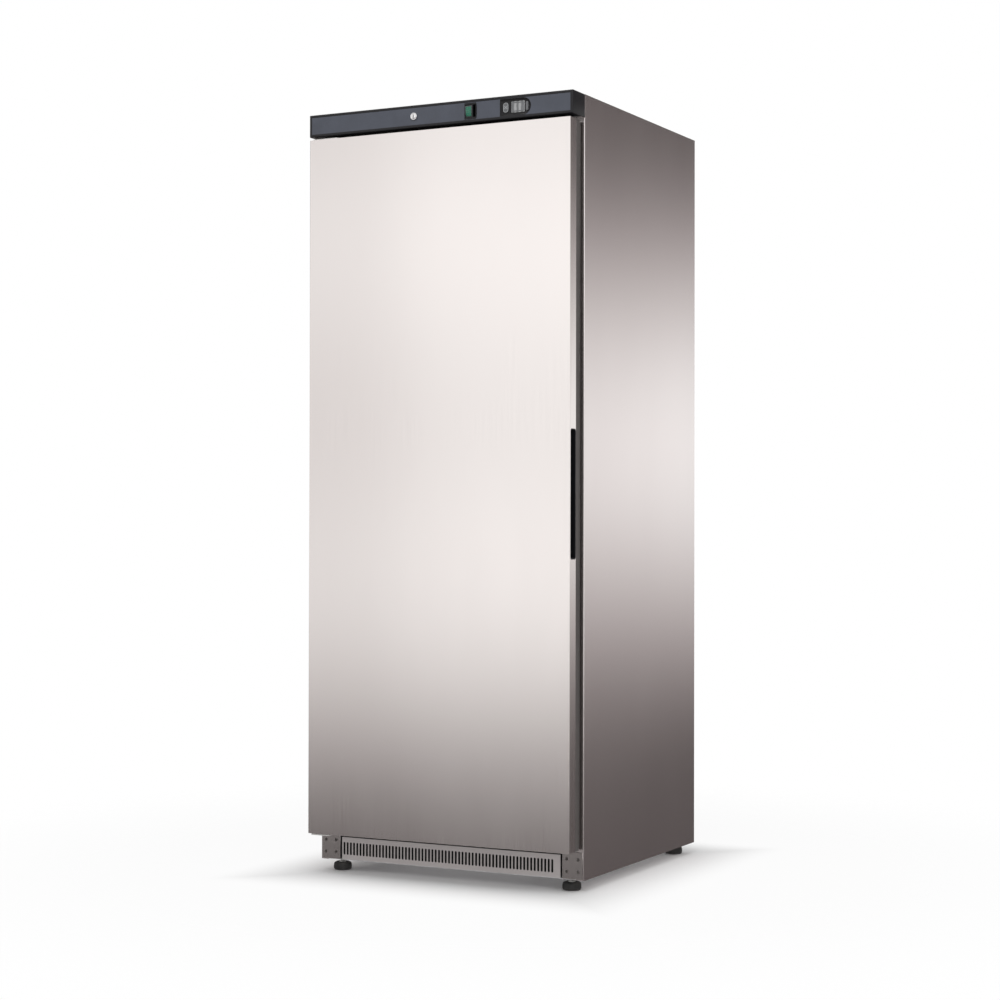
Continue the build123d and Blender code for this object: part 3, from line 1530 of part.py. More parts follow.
# Door caps: black mouldings that close the ends of the door and hold the hinge bushes.
for name, z in (("door_bottom_cap", door_bottom), ("door_top_cap", door_top - cap_height)):
    with BuildPart() as door_cap:
        with BuildSketch(level(z)) as cap_plan:
            door_section(edge_inset)
            chamfer(cap_plan.vertices().group_by(Axis.Y)[0], length=foam_corner)
            with Locations((pin_x, pin_y)):
                bore(bush_radius, mode=Mode.SUBTRACT)
        extrude(amount=cap_height)
        if name == "door_top_cap":
            block(
                lock_x - cam_width / 2 - cam_play, lock_x + cam_slot_reach + cam_play,
                cam_front - cam_play, cam_front + cam_sheet + cam_play,
                door_top - cam_slot_depth, door_top, mode=Mode.SUBTRACT,
            )
    door_cap.part.label = name
    export_step(door_cap.part, f"parts/{name}.step")

# Edge strips: black channels up both sides of the door, behind the stainless return.
with BuildPart() as door_edge_strips:
    with BuildSketch(level(door_bottom + cap_height)):
        for side in (-1, 1):
            edge_x = side * (door_half - edge_inset - edge_width / 2)
            with Locations((edge_x, (y_door + door_return + y_liner) / 2)):
                Rectangle(edge_width, door_body - door_return)
    extrude(amount=door_height - 2 * cap_height)
door_edge_strips.part.label = "door_edge_strips"
export_step(door_edge_strips.part, "parts/door_edge_strips.step")

# Door liner: a formed sheet whose raised ridge enters the mouth of the storage space.
dyke_half = cavity_half - dyke_gap
dyke_low = cavity_floor + dyke_gap
dyke_high = cavity_top - dyke_gap
with BuildPart() as door_liner:
    with BuildSketch(behind(y_liner)):
        with Locations((0, door_middle)):
            Rectangle(2 * (door_half - edge_inset), door_height - 2 * edge_inset)
    extrude(amount=door_liner_wall)
    with BuildSketch(behind(y_gasket)):
        with Locations((0, (dyke_low + dyke_high) / 2)):
            eased(2 * dyke_half, dyke_high - dyke_low, dyke_corner)
            eased(
                2 * (dyke_half - dyke_width), dyke_high - dyke_low - 2 * dyke_width,
                dyke_inner_corner, mode=Mode.SUBTRACT,
            )
    extrude(amount=dyke_reach, taper=dyke_taper)
door_liner.part.label = "door_liner"
export_step(door_liner.part, "parts/door_liner.step")

# Gasket: a soft magnetic seal round the door liner, narrow at its root.
gasket_half = door_half - gasket_inset
gasket_tall = door_height - 2 * gasket_inset
with BuildPart() as door_gasket:
    for y0, y1, wide in (
        (y_gasket, y_gasket + gasket_neck, gasket_root),
        (y_gasket + gasket_neck, y_face - seal_gap, gasket_width),
    ):
        middle = gasket_half - gasket_width / 2
        outer = 2 * (middle + wide / 2)
        inner = 2 * (middle - wide / 2)
        spare = gasket_tall - 2 * gasket_half
        with BuildSketch(behind(y0)):
            with Locations((0, door_middle)):
                Rectangle(outer, outer + spare)
                Rectangle(inner, inner + spare, mode=Mode.SUBTRACT)
        extrude(amount=y1 - y0)
door_gasket.part.label = "door_gasket"
export_step(door_gasket.part, "parts/door_gasket.step")

# Hinge bushes: flanged plastic sleeves pressed into the door caps.
with BuildPart() as hinge_bushes:
    for z, up in ((door_bottom, 1), (door_top, -1)):
        for start, long, radius in (
            (-bush_flange_height, bush_flange_height, bush_flange),
            (0, pin_reach + bush_end, bush_radius),
        ):
            with BuildSketch(level(z + up * start)):
                with Locations((pin_x, pin_y)):
                    disc(radius)
            extrude(amount=up * long)
        with BuildSketch(level(z - up * bush_flange_height)):
            with Locations((pin_x, pin_y)):
                bore(pin_radius + running_gap)
        extrude(amount=up * (bush_flange_height + pin_reach + bush_end), mode=Mode.SUBTRACT)
hinge_bushes.part.label = "hinge_bushes"
export_step(hinge_bushes.part, "parts/hinge_bushes.step")
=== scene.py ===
from math import atan2, cos, pi, radians, sin, tan, tau
import bmesh
import bpy
from mathutils import Matrix, Vector
from mathutils.geometry import tessellate_polygon


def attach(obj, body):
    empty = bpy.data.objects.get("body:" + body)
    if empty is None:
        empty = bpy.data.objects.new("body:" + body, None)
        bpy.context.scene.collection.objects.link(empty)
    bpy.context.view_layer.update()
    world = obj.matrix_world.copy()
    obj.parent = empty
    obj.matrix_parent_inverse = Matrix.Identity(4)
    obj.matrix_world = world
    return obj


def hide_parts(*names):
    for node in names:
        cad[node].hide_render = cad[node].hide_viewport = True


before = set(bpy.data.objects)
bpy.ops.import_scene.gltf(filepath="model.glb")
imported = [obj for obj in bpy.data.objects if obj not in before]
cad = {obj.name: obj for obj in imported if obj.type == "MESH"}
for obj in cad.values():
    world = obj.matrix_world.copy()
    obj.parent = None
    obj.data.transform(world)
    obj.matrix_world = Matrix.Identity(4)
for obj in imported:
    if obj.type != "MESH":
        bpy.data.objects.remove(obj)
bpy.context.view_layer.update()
scene = bpy.context.scene
scene.view_settings.view_transform = "Standard"

# Camera: eye height 0.88 m, five metres off, looking at the door and the right-hand side with a
# long lens, so that the verticals stay upright.
lens_yaw, lens_pitch, lens_roll = radians(27.32), radians(0.57), radians(0.11)
ahead = Vector((-sin(lens_yaw), cos(lens_yaw), 0))
aside = Vector((cos(lens_yaw), sin(lens_yaw), 0))
view_line = ahead * cos(lens_pitch) + Vector((0, 0, sin(lens_pitch)))
view_up = Vector((0, 0, cos(lens_pitch))) - ahead * sin(lens_pitch)
view_side = aside * cos(lens_roll) + view_up * sin(lens_roll)
view_top = view_up * cos(lens_roll) - aside * sin(lens_roll)
camera = bpy.data.objects.new("camera", bpy.data.cameras.new("camera"))
camera.data.lens, camera.data.sensor_width = 76.36, 36
camera.matrix_world = Matrix.Translation((2.496, -4.8715, 0.88)) @ Matrix((view_side, view_top,
    -view_line)).transposed().to_4x4()
scene.collection.objects.link(camera)
scene.camera = camera


# Studio: an even white tent. Seen as a background it is white. The steel sees two soft boxes on a
# pale wall in front of the door and one on the wall behind it; both walls dim towards the floor,
# which is pale again far below.
def feed(tree, node, feeds):
    """Each named input gets a value, or is linked to an output or a node's first output."""
    for key, value in feeds.items():
        if isinstance(value, bpy.types.Node):
            value = value.outputs[0]
        if isinstance(value, bpy.types.NodeSocket):
            tree.links.new(value, node.inputs[key])
        elif node.inputs[key].type == "RGBA":
            node.inputs[key].default_value = (*value[:3], 1)
        else:
            node.inputs[key].default_value = value
    return node


def place(tree, kind, feeds=None, **settings):
    """New node, of the tree's own family unless its full kind is given, with its inputs fed."""
    family = "Geometry" if tree.type == "GEOMETRY" else "Shader"
    node = tree.nodes.new(kind if "Node" in kind else f"{family}Node{kind}")
    for key, value in settings.items():
        setattr(node, key, value)
    return feed(tree, node, feeds or {})


def sum_of(tree, operation, *terms):
    """Output of a chain of Math nodes over values or sockets."""
    total = terms[0]
    for term in terms[1:]:
        total = place(tree, "ShaderNodeMath", {0: total, 1: term}, operation=operation)
    return total


def between(tree, value, low, high, start=0.0, end=1.0, smooth=True):
    """Output that runs from start to end as value runs from low to high."""
    kind = "SMOOTHSTEP" if smooth else "LINEAR"
    return place(tree, "ShaderNodeMapRange", {"Value": value, "From Min": low, "From Max": high,
        "To Min": start, "To Max": end}, interpolation_type=kind)


world = bpy.data.worlds.new("studio")
scene.world = world
world.use_nodes = True
sky = world.node_tree
sky.nodes.clear()
aim = place(sky, "SeparateXYZ", {0: place(sky, "TexCoord").outputs["Generated"]}).outputs


def soft_box(middle, reach, level, rest):
    """A band of light round the tent at one height."""
    away = place(sky, "Math", {0: sum_of(sky, "SUBTRACT", aim["Z"], middle)}, operation="ABSOLUTE")
    return between(sky, away, 0.0, reach, level, rest)


pale_floor = between(sky, aim["Z"], -0.25, -0.42, 0.0, 0.62)
front_wall = sum_of(sky, "ADD", between(sky, aim["Z"], -0.15, -0.06, 0.06, 1.0), pale_floor,
    soft_box(0.13, 0.075, 0.33, 0.0), soft_box(-0.03, 0.07, 0.31, 0.0))
front_wall = sum_of(sky, "MULTIPLY", front_wall, between(sky, aim["X"], -0.565, -0.48, 0.81, 1.0))
rear_wall = sum_of(sky, "ADD", soft_box(0.037, 0.148, 1.11, 0.105), pale_floor,
    between(sky, aim["Z"], 0.25, 0.6, 0.0, 0.6))
turned_back = between(sky, aim["Y"], -0.25, 0.25)
seen_by_steel = place(sky, "Mix", {0: turned_back, 2: front_wall, 3: rear_wall}, data_type="FLOAT")
path = place(sky, "LightPath").outputs
level = place(sky, "Mix", {0: path["Is Glossy Ray"], 2: 0.56, 3: seen_by_steel}, data_type="FLOAT")
level = sum_of(sky, "MAXIMUM", level, path["Is Transmission Ray"], path["Is Camera Ray"])
warmth = place(sky, "Mix", {0: sum_of(sky, "MINIMUM", seen_by_steel, 1.0), 6: (1, 0.86, 0.855, 1),
    7: (1, 0.99, 0.985, 1)}, data_type="RGBA").outputs[2]
tint = place(sky, "Mix", {0: path["Is Glossy Ray"], 6: (1, 1, 1, 1), 7: warmth},
    data_type="RGBA").outputs[2]
place(sky, "OutputWorld", {0: place(sky, "Background", {"Color": tint, "Strength": level})})
for name, where, size, power in (("softbox_over", (0.6, -2.4, 3.6), 2.6, 50),
        ("softbox_right", (3.2, -0.6, 2.4), 1.8, 17)):
    lamp = bpy.data.objects.new(name, bpy.data.lights.new(name, "AREA"))
    lamp.data.size, lamp.data.energy = size, power
    lamp.location = where
    lamp.rotation_euler = (Vector((0, 0, 0.9)) - lamp.location).to_track_quat("-Z", "Y").to_euler()
    lamp.visible_glossy = False
    scene.collection.objects.link(lamp)

floor_mesh = bpy.data.meshes.new("studio_floor")
floor_build = bmesh.new()
bmesh.ops.create_circle(floor_build, cap_ends=True, segments=96, radius=2.2)
bmesh.ops.translate(floor_build, verts=floor_build.verts, vec=(0, 0, -0.0004))
floor_build.to_mesh(floor_mesh)
floor_build.free()
studio_floor = bpy.data.objects.new("studio_floor", floor_mesh)
scene.collection.objects.link(studio_floor)
pale = bpy.data.materials.new("studio_floor")
pale.use_nodes = True
tree = pale.node_tree
tree.nodes.clear()
reach = place(tree, "VectorMath", {0: place(tree, "TexCoord").outputs["Object"]},
    operation="LENGTH").outputs["Value"]
spot = place(tree, "SeparateXYZ", {0: place(tree, "VectorMath",
    {0: place(tree, "TexCoord").outputs["Object"]}, operation="ABSOLUTE")}).outputs
clear_of = sum_of(tree, "MAXIMUM", sum_of(tree, "SUBTRACT", spot["X"], 0.365),
    sum_of(tree, "SUBTRACT", spot["Y"], 0.3825))
path = place(tree, "LightPath").outputs
lit = place(tree, "BsdfDiffuse", {"Color": (0.86, 0.86, 0.86, 1)})
glow = place(tree, "Emission", {"Color": (1, 1, 1, 1)})
lit = place(tree, "MixShader", {0: sum_of(tree, "MULTIPLY", path["Is Camera Ray"],
    between(tree, clear_of, -0.04, 0.2, 0.0, 0.92)), 1: lit, 2: glow})
clear = place(tree, "BsdfTransparent")
place(tree, "OutputMaterial", {0: place(tree, "MixShader", {0: sum_of(tree, "MAXIMUM",
    between(tree, reach, 0.8, 1.9), path["Is Glossy Ray"]), 1: lit, 2: clear})})
floor_mesh.materials.append(pale)


# Base: galvanised steel channels, cross rails, screw sockets and the compressor deck, folded and
# spot welded, and left in their zinc coat.
def effect(name, takes, gives):
    """Shader node group with named sockets; gives back the group and its two ends."""
    group = bpy.data.node_groups.new(name, "ShaderNodeTree")
    for label, kind, value in takes:
        socket = group.interface.new_socket(label, in_out="INPUT", socket_type="NodeSocket" + kind)
        if value is not None:
            socket.default_value = value
    for label in gives:
        group.interface.new_socket(label, in_out="OUTPUT", socket_type="NodeSocketFloat")
    return group, group.nodes.new("NodeGroupInput").outputs, group.nodes.new("NodeGroupOutput")


def noise(tree, vector, scale, detail=3.0, rough=0.55):
    return place(tree, "TexNoise", {"Vector": vector, "Scale": scale, "Detail": detail,
        "Roughness": rough})


# dust: settles on faces that look up and towards the floor
dust, taken, given = effect("dust", [("Place", "Vector", None), ("Amount", "Float", 0.5),
    ("Low", "Float", 0.15)], ["Mask"])
facing_up = between(dust, place(dust, "SeparateXYZ", {0: place(dust,
    "NewGeometry").outputs["Normal"]}).outputs["Z"], 0.2, 1.0)
near_floor = between(dust, place(dust, "SeparateXYZ", {0: taken["Place"]}).outputs["Z"], 0.0,
    taken["Low"], 0.35, 0.0)
patches = between(dust, noise(dust, taken["Place"], 34.0, 5.0), 0.35, 0.7)
feed(dust, given, {"Mask": sum_of(dust, "MULTIPLY", sum_of(dust, "ADD", facing_up, near_floor),
    patches, taken["Amount"])})

# edge_wear: the coat is thin along outside edges
edge_wear, taken, given = effect("edge_wear", [("Place", "Vector", None), ("Width", "Float", 0.001),
    ("Amount", "Float", 0.5)], ["Mask"])
softened = place(edge_wear, "Bevel", {"Radius": taken["Width"]}, samples=4)
turn_off = place(edge_wear, "VectorMath", {0: softened, 1: place(edge_wear,
    "NewGeometry").outputs["Normal"]}, operation="DOT_PRODUCT").outputs["Value"]
broken = between(edge_wear, noise(edge_wear, taken["Place"], 160.0, 4.0), 0.4, 0.62)
feed(edge_wear, given, {"Mask": sum_of(edge_wear, "MULTIPLY", between(edge_wear, turn_off, 0.99,
    0.86), broken, taken["Amount"])})


def material(name, colour, rough, metal=0.0, **plain):
    """New material: itself, its tree, its Principled shader and the object's own coordinates."""
    made = bpy.data.materials.new(name)
    made.use_nodes = True
    tree = made.node_tree
    shader = feed(tree, tree.nodes["Principled BSDF"], {"Base Color": colour, "Roughness": rough,
        "Metallic": metal, **{key.replace("_", " "): value for key, value in plain.items()}})
    return made, tree, shader, place(tree, "TexCoord").outputs["Object"]


def use(tree, group, **feeds):
    """Outputs of an effect placed in a material."""
    return place(tree, "Group", feeds, node_tree=group).outputs


def tinted(tree, shader, mask, first, second):
    """Base colour that runs from first to second under a mask."""
    colour = place(tree, "Mix", {0: mask, 6: first, 7: second}, data_type="RGBA").outputs[2]
    feed(tree, shader, {"Base Color": colour})
    return colour


def relief(tree, shader, height, distance):
    """Surface height in metres, shown by the shader's normal."""
    feed(tree, shader, {"Normal": place(tree, "Bump", {"Height": height, "Distance": distance,
        "Strength": 1.0})})


def dress(finish, *nodes):
    """Carried-over pieces of the frame get a finish."""
    for name in nodes:
        cad[name].data.materials.clear()
        cad[name].data.materials.append(finish)


def zinc_coat(name, colour, crystal):
    """Zinc coat: crystals a few millimetres across, each of its own grey and gloss."""
    finish, tree, shader, here = material(name, colour, 0.42, 0.9)
    cells = place(tree, "TexVoronoi", {"Vector": here, "Scale": crystal,
        "Randomness": 1.0}).outputs["Color"]
    grey = place(tree, "SeparateColor", {0: cells})
    dulled = use(tree, dust, Place=here, Amount=0.7, Low=0.12)[0]
    worn = use(tree, edge_wear, Place=here, Width=0.0012, Amount=0.6)[0]
    bright = tinted(tree, shader, grey, tuple(c * 0.82 for c in colour),
        tuple(min(1, c * 1.12) for c in colour))
    mixed = tinted(tree, shader, dulled, bright, (0.34, 0.32, 0.29))
    tinted(tree, shader, worn, mixed, (0.78, 0.78, 0.78))
    feed(tree, shader, {"Roughness": between(tree, grey, 0, 1, 0.34, 0.52)})
    relief(tree, shader, noise(tree, here, 900.0, 2.0), 0.00004)
    return finish


galvanised = zinc_coat("galvanised_steel", (0.6, 0.61, 0.62), 170.0)
dress(galvanised, "base_rails", "crossmembers", "foot_sockets", "compressor_deck")


# Levelling feet: a black rubber pad moulded on a zinc-plated stud, with a hexagon for the spanner
# under the base. Each screws into a socket of the base.
bench = bmesh.new()


def lofted(rings, again=False):
    """Skin over rings of equal count, closed by its ends or by going round to the first ring."""
    rows = [[bench.verts.new(p) for p in ring] for ring in rings]
    count = len(rows[0])
    for i in range(len(rows) - (not again)):
        one, two = rows[i], rows[(i + 1) % len(rows)]
        for k in range(count):
            bench.faces.new((one[k], one[(k + 1) % count], two[(k + 1) % count], two[k]))
    if not again:
        bench.faces.new(rows[0])
        bench.faces.new(rows[-1][::-1])


def turned(profile, centre, axis="z", sides=32, again=False):
    """Turned shape: each row of its profile is (radius, distance along the axis)."""
    rings = []
    for radius, reach in profile:
        ring = [(radius * cos(tau * k / sides), radius * sin(tau * k / sides))
            for k in range(sides)]
        rings.append([Vector(centre) + Vector({"z": (a, b, reach), "y": (a, reach, b),
            "x": (reach, a, b)}[axis]) for a, b in ring])
    lofted(rings, again)


def cleared(name, *finishes, scale=0.001, outwards=True):
    """The bench holds one piece at a time, in millimetres: it leaves as a mesh."""
    bmesh.ops.scale(bench, verts=bench.verts, vec=(scale,) * 3)
    if outwards:
        bmesh.ops.recalc_face_normals(bench, faces=bench.faces)
    mesh = bpy.data.meshes.new(name)
    bench.to_mesh(mesh)
    bench.clear()
    for finish in finishes:
        mesh.materials.append(finish)
    return mesh


def hang(piece, body, nodes=()):
    """The finished piece rides on its body and stands for its nodes."""
    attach(piece, body)
    if nodes:
        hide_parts(*nodes)
    return piece


def settled(piece, smooth=35):
    """The piece's modifiers are worked into its mesh, and it is shaded smooth below an angle."""
    bpy.context.view_layer.update()
    graph = bpy.context.evaluated_depsgraph_get()
    mesh = bpy.data.meshes.new_from_object(piece.evaluated_get(graph), depsgraph=graph)
    piece.modifiers.clear()
    piece.data = mesh
    mesh.shade_smooth()
    mesh.set_sharp_from_angle(angle=radians(smooth))
    return piece


def finished(name, finish, slot, *nodes, body="cabinet", ease=0.0, smooth=35):
    """The piece on the bench: closed, turned outwards, its edges eased, then hung."""
    bmesh.ops.remove_doubles(bench, verts=bench.verts, dist=0.0001)
    piece = bpy.data.objects.new(name, cleared(name, finish))
    scene.collection.objects.link(piece)
    if ease:
        soft = piece.modifiers.new("eased_edges", "BEVEL")
        soft.width, soft.segments, soft.limit_method = ease * 0.001, 2, "ANGLE"
        soft.angle_limit = radians(40)
    return hang(settled(piece, smooth), body, nodes)


# moulded: the fine pebble of a mould's face
moulded, taken, given = effect("moulded", [("Place", "Vector", None), ("Grain", "Float", 1500.0),
    ("Base", "Float", 0.5), ("Spread", "Float", 0.15)], ["Roughness", "Height"])
pebble = noise(moulded, taken["Place"], taken["Grain"], 2.0)
cloud = noise(moulded, taken["Place"], 14.0, 4.0)
feed(moulded, given, {"Roughness": sum_of(moulded, "ADD", taken["Base"],
    sum_of(moulded, "MULTIPLY", sum_of(moulded, "SUBTRACT", cloud, 0.5), taken["Spread"], 2.0)),
    "Height": pebble})


def plastic(name, colour, rough, spread=0.12, grain=1500.0, depth=0.00003, dusty=0.0, tone=0.06,
        **plain):
    """Moulded plastic or rubber: pebbled face, cloudy gloss and a little dust."""
    finish, tree, shader, here = material(name, colour, rough, 0.0, **plain)
    skin = use(tree, moulded, Place=here, Grain=grain, Base=rough, Spread=spread)
    feed(tree, shader, {"Roughness": skin["Roughness"]})
    relief(tree, shader, skin["Height"], depth)
    cloudy = between(tree, noise(tree, here, 22.0, 5.0), 0.3, 0.7)
    body = tinted(tree, shader, cloudy, tuple(c * (1 - tone) for c in colour),
        tuple(min(1, c * (1 + tone)) for c in colour))
    if dusty:
        tinted(tree, shader, use(tree, dust, Place=here, Amount=dusty, Low=0.2)[0], body,
            (0.42, 0.4, 0.37))
    return finish


foot_rubber = plastic("foot_rubber", (0.013, 0.013, 0.014), 0.6, 0.18, 700.0, 0.00008, 0.2,
    Specular_IOR_Level=0.3)
plated_stud = zinc_coat("plated_stud", (0.66, 0.66, 0.64), 400.0)
pad_edge = [(0, 0), (18.6, 0), (20.9, 0.7), (22.3, 2.6), (22.9, 6), (22.9, 10.5), (22.4, 14.6),
    (21, 17.4), (18.4, 19.1), (14, 19.5), (0, 19.5)]
thread_pitch = 1.5
thread = [(5 - 0.55 * (k % 2), 22.5 + k * thread_pitch / 2) for k in range(17)]
for end, y in (("front", -281.5), ("rear", 347.5)):
    for hand, x in (("left", -320), ("right", 320)):
        turned([(max(r, 0.01), z) for r, z in pad_edge], (x, y, 0))
        for rib in range(3):
            turned([(16 - rib * 4, 19.4), (16 - rib * 4, 20.1), (14.6 - rib * 4, 20.1),
                (14.6 - rib * 4, 19.4)], (x, y, 0), again=True)
        finished(f"foot_pad_{end}_{hand}", foot_rubber, "pad_rubber", f"foot_{end}_{hand}",
            body=f"{end}_{hand}_foot")
        turned([(8.9, 19.5), (9.8, 20), (9.8, 22), (8.9, 22.5)], (x, y, 0), sides=6)
        turned([(4.4, 22.4)] + thread + [(4.95, 35), (4.95, 78), (4, 79.5)], (x, y, 0), sides=20)
        finished(f"foot_stud_{end}_{hand}", plated_stud, "galvanised", body=f"{end}_{hand}_foot",
            smooth=25)


# Outer shell: both side panels, the roof and the frame round the door opening are 1 mm stainless
# sheet with an upright brush grain, folded with tight bends and held to the base by flanges.
def eased(points, radii, steps=4):
    """Closed outline with its corners rounded; radii is one size or one for each corner."""
    loop = []
    for i, corner in enumerate(points):
        radius = radii[i] if isinstance(radii, (list, tuple)) else radii
        corner = Vector(corner)
        if radius <= 0:
            loop.append(tuple(corner))
            continue
        before = (Vector(points[i - 1]) - corner).normalized()
        after = (Vector(points[(i + 1) % len(points)]) - corner).normalized()
        half = before.angle(after) / 2
        centre = corner + (before + after).normalized() * radius / sin(half)
        start = corner + before * radius / tan(half) - centre
        end = corner + after * radius / tan(half) - centre
        first = atan2(start.y, start.x)
        turn = (atan2(end.y, end.x) - first + pi) % tau - pi
        for k in range(steps + 1):
            a = first + turn * k / steps
            loop.append((centre.x + radius * cos(a), centre.y + radius * sin(a)))
    return loop


def raised(loop, axis, at):
    """The outline stood across an axis: (y, z) across x, (x, z) across y, (x, y) across z."""
    return [Vector({"x": (at, a, b), "y": (a, at, b), "z": (a, b, at)}[axis]) for a, b in loop]


def bar(loop, axis, low, high):
    lofted([raised(loop, axis, low), raised(loop, axis, high)])


def box(x0, x1, y0, y1, radii=0, steps=4):
    """Rectangle, its corners rounded if radii are given."""
    loop = [(x0, y0), (x1, y0), (x1, y1), (x0, y1)]
    return eased(loop, radii, steps) if radii else loop


# brushed: fine scratches along the grain that spread the gloss, under broad wiping marks
brushed, taken, given = effect("brushed", [("Place", "Vector", None),
    ("Lines", "Vector", (1500.0, 1500.0, 5.0)), ("Base", "Float", 0.25), ("Spread", "Float", 0.1)],
    ["Roughness", "Height", "Tone"])
scratch = noise(brushed, place(brushed, "VectorMath", {0: taken["Place"], 1: taken["Lines"]},
    operation="MULTIPLY"), 1.0, 2.0, 0.7)
wiped = noise(brushed, place(brushed, "VectorMath", {0: taken["Place"], 1: (6.0, 6.0, 1.4)},
    operation="MULTIPLY"), 1.0, 4.0)
uneven = sum_of(brushed, "ADD", sum_of(brushed, "SUBTRACT", scratch, 0.5),
    sum_of(brushed, "MULTIPLY", sum_of(brushed, "SUBTRACT", wiped, 0.5), 0.6))
gloss = sum_of(brushed, "ADD", taken["Base"], sum_of(brushed, "MULTIPLY", uneven, taken["Spread"]))
feed(brushed, given, {"Roughness": gloss, "Height": scratch, "Tone": between(brushed, scratch, 0.3,
    0.7, 0.965, 1.02)})


def brushed_steel(name, colour, rough, spread=0.08, lines=(1500.0, 1500.0, 5.0), metal=1.0,
        worn=0.25, dusty=0.12, depth=0.0000035, **plain):
    """Satin stainless sheet: brush grain, faint wiping marks, bright rubbed edges, light dust."""
    finish, tree, shader, here = material(name, colour, rough, metal, **plain)
    grain = use(tree, brushed, Place=here, Lines=lines, Base=rough, Spread=spread)
    feed(tree, shader, {"Roughness": grain["Roughness"]})
    relief(tree, shader, grain["Height"], depth)
    body = tinted(tree, shader, grain["Tone"], tuple(c * 0.2 for c in colour), colour)
    rubbed = use(tree, edge_wear, Place=here, Width=0.0008, Amount=worn)[0]
    body = tinted(tree, shader, rubbed, body, (0.86, 0.85, 0.84))
    tinted(tree, shader, use(tree, dust, Place=here, Amount=dusty, Low=0.1)[0], body,
        (0.45, 0.43, 0.4))
    return finish


shell_steel = brushed_steel("shell_steel", (0.8, 0.752, 0.742), 0.21, Anisotropic=0.35)
for hand, side in (("left", -1), ("right", 1)):
    fold = [(365, -310.5), (365, 382.5), (351, 382.5), (351, 381.5), (364, 381.5), (364, -309.5),
        (345, -309.5), (345, -310.5)]
    loop = eased([(side * x, y) for x, y in fold], [2, 2, 0, 0, 1, 1, 0, 0])
    bar(loop, "z", 28, 1894)
    bar([(side * x, y) for x, y in box(345, 364, -309.5, 381.5)], "z", 28, 29)
    finished(f"side_sheet_{hand}", shell_steel, "stainless", f"side_panel_{hand}")
dress(shell_steel, "roof_panel", "front_frame")
dress(galvanised, "back_panel")

# Foam: pale polyurethane foamed in place in the walls, the floor and the door. Where the cabinet's
# foam meets the machine space it is faced with galvanised sheet.
foam, tree, shader, here = material("foam", (0.88, 0.8, 0.58), 0.85)
bubbles = place(tree, "TexVoronoi", {"Vector": here, "Scale": 700.0})
relief(tree, shader, bubbles, 0.0003)
tinted(tree, shader, between(tree, noise(tree, here, 30.0), 0.3, 0.7), (0.8, 0.7, 0.46),
    (0.92, 0.85, 0.66))
dress(foam, "door_foam")
dress(galvanised, "insulation_foam", "floor_foam")

# Inner liner: white sheet plastic, vacuum formed as one tub with soft corners and a step over the
# machine space, with ten shelf ledges moulded in each side wall.
def rule(name, takes):
    """Empty geometry node tree with named inputs, and its two ends."""
    tree = bpy.data.node_groups.new(name, "GeometryNodeTree")
    tree.interface.new_socket("Geometry", in_out="INPUT", socket_type="NodeSocketGeometry")
    for label, kind in takes:
        tree.interface.new_socket(label, in_out="INPUT", socket_type="NodeSocket" + kind)
    tree.interface.new_socket("Finish", in_out="INPUT", socket_type="NodeSocketMaterial")
    tree.interface.new_socket("Geometry", in_out="OUTPUT", socket_type="NodeSocketGeometry")
    return tree, tree.nodes.new("NodeGroupInput").outputs, tree.nodes.new("NodeGroupOutput")


def close(tree, taken, given, geometry):
    """Ends a tree in real geometry with its finish."""
    real = place(tree, "RealizeInstances", {0: geometry})
    feed(tree, given, {0: place(tree, "SetMaterial", {"Geometry": real,
        "Material": taken["Finish"]})})


def join(tree, *parts):
    node = tree.nodes.new("GeometryNodeJoinGeometry")
    for part in parts:
        feed(tree, node, {0: part})
    return node


def along(*paths, closed=False):
    """Mesh of bare edges along each path, in millimetres; a path of one point is a place."""
    points, edges = [], []
    for path in paths:
        first = len(points)
        points += [tuple(p) for p in path]
        edges += [(i, i + 1) for i in range(first, len(points) - 1)]
        if closed:
            edges.append((len(points) - 1, first))
    mesh = bpy.data.meshes.new("path")
    mesh.from_pydata(points, edges, [])
    return mesh


def grown(name, tree, finish, slot, start=None, node="", body="cabinet", smooth=35, **sizes):
    """Piece that a rule grows from its start mesh, in millimetres, made plain mesh and hung."""
    piece = bpy.data.objects.new(name, start or along([(0, 0, 0)]))
    scene.collection.objects.link(piece)
    grow = piece.modifiers.new(name, "NODES")
    grow.node_group = tree
    sizes = {"Count": 1, "Bend": 0.1, "Bend_Steps": 1, **sizes, "Finish": finish}
    for item in tree.interface.items_tree:
        if item.in_out == "INPUT" and item.name.replace(" ", "_") in sizes:
            grow[item.identifier] = sizes[item.name.replace(" ", "_")]
    settled(piece, smooth)
    piece.data.transform(Matrix.Scale(0.001, 4))
    return hang(piece, body, [node] if node else [])


white_liner = plastic("white_liner", (0.86, 0.87, 0.88), 0.33, 0.08, 260.0, 0.00006, 0.1, 0.015)
side_view = eased([(-309.5, 150), (45.5, 150), (45.5, 334), (290.5, 334), (290.5, 1788),
    (-309.5, 1788)], [0, 12, 4, 16, 16, 0], 5)
left, right = ([bench.verts.new(p) for p in raised(side_view, "x", x)] for x in (-313, 313))
for k in range(len(side_view) - 1):
    bench.faces.new((left[k], left[k + 1], right[k + 1], right[k]))
bench.faces.new(list(reversed(left)))
bench.faces.new(right)
bmesh.ops.recalc_face_normals(bench, faces=bench.faces)
bmesh.ops.reverse_faces(bench, faces=bench.faces)
rims = [e for e in bench.edges if not e.is_boundary and e.verts[0].co.x == e.verts[1].co.x]
bmesh.ops.bevel(bench, geom=rims, offset=7, segments=4, affect="EDGES", profile=0.5)
liner = bpy.data.objects.new("liner_tub", cleared("liner_tub", white_liner, outwards=False))
scene.collection.objects.link(liner)
wall = liner.modifiers.new("sheet", "SOLIDIFY")
wall.thickness, wall.offset = 0.0019, -1
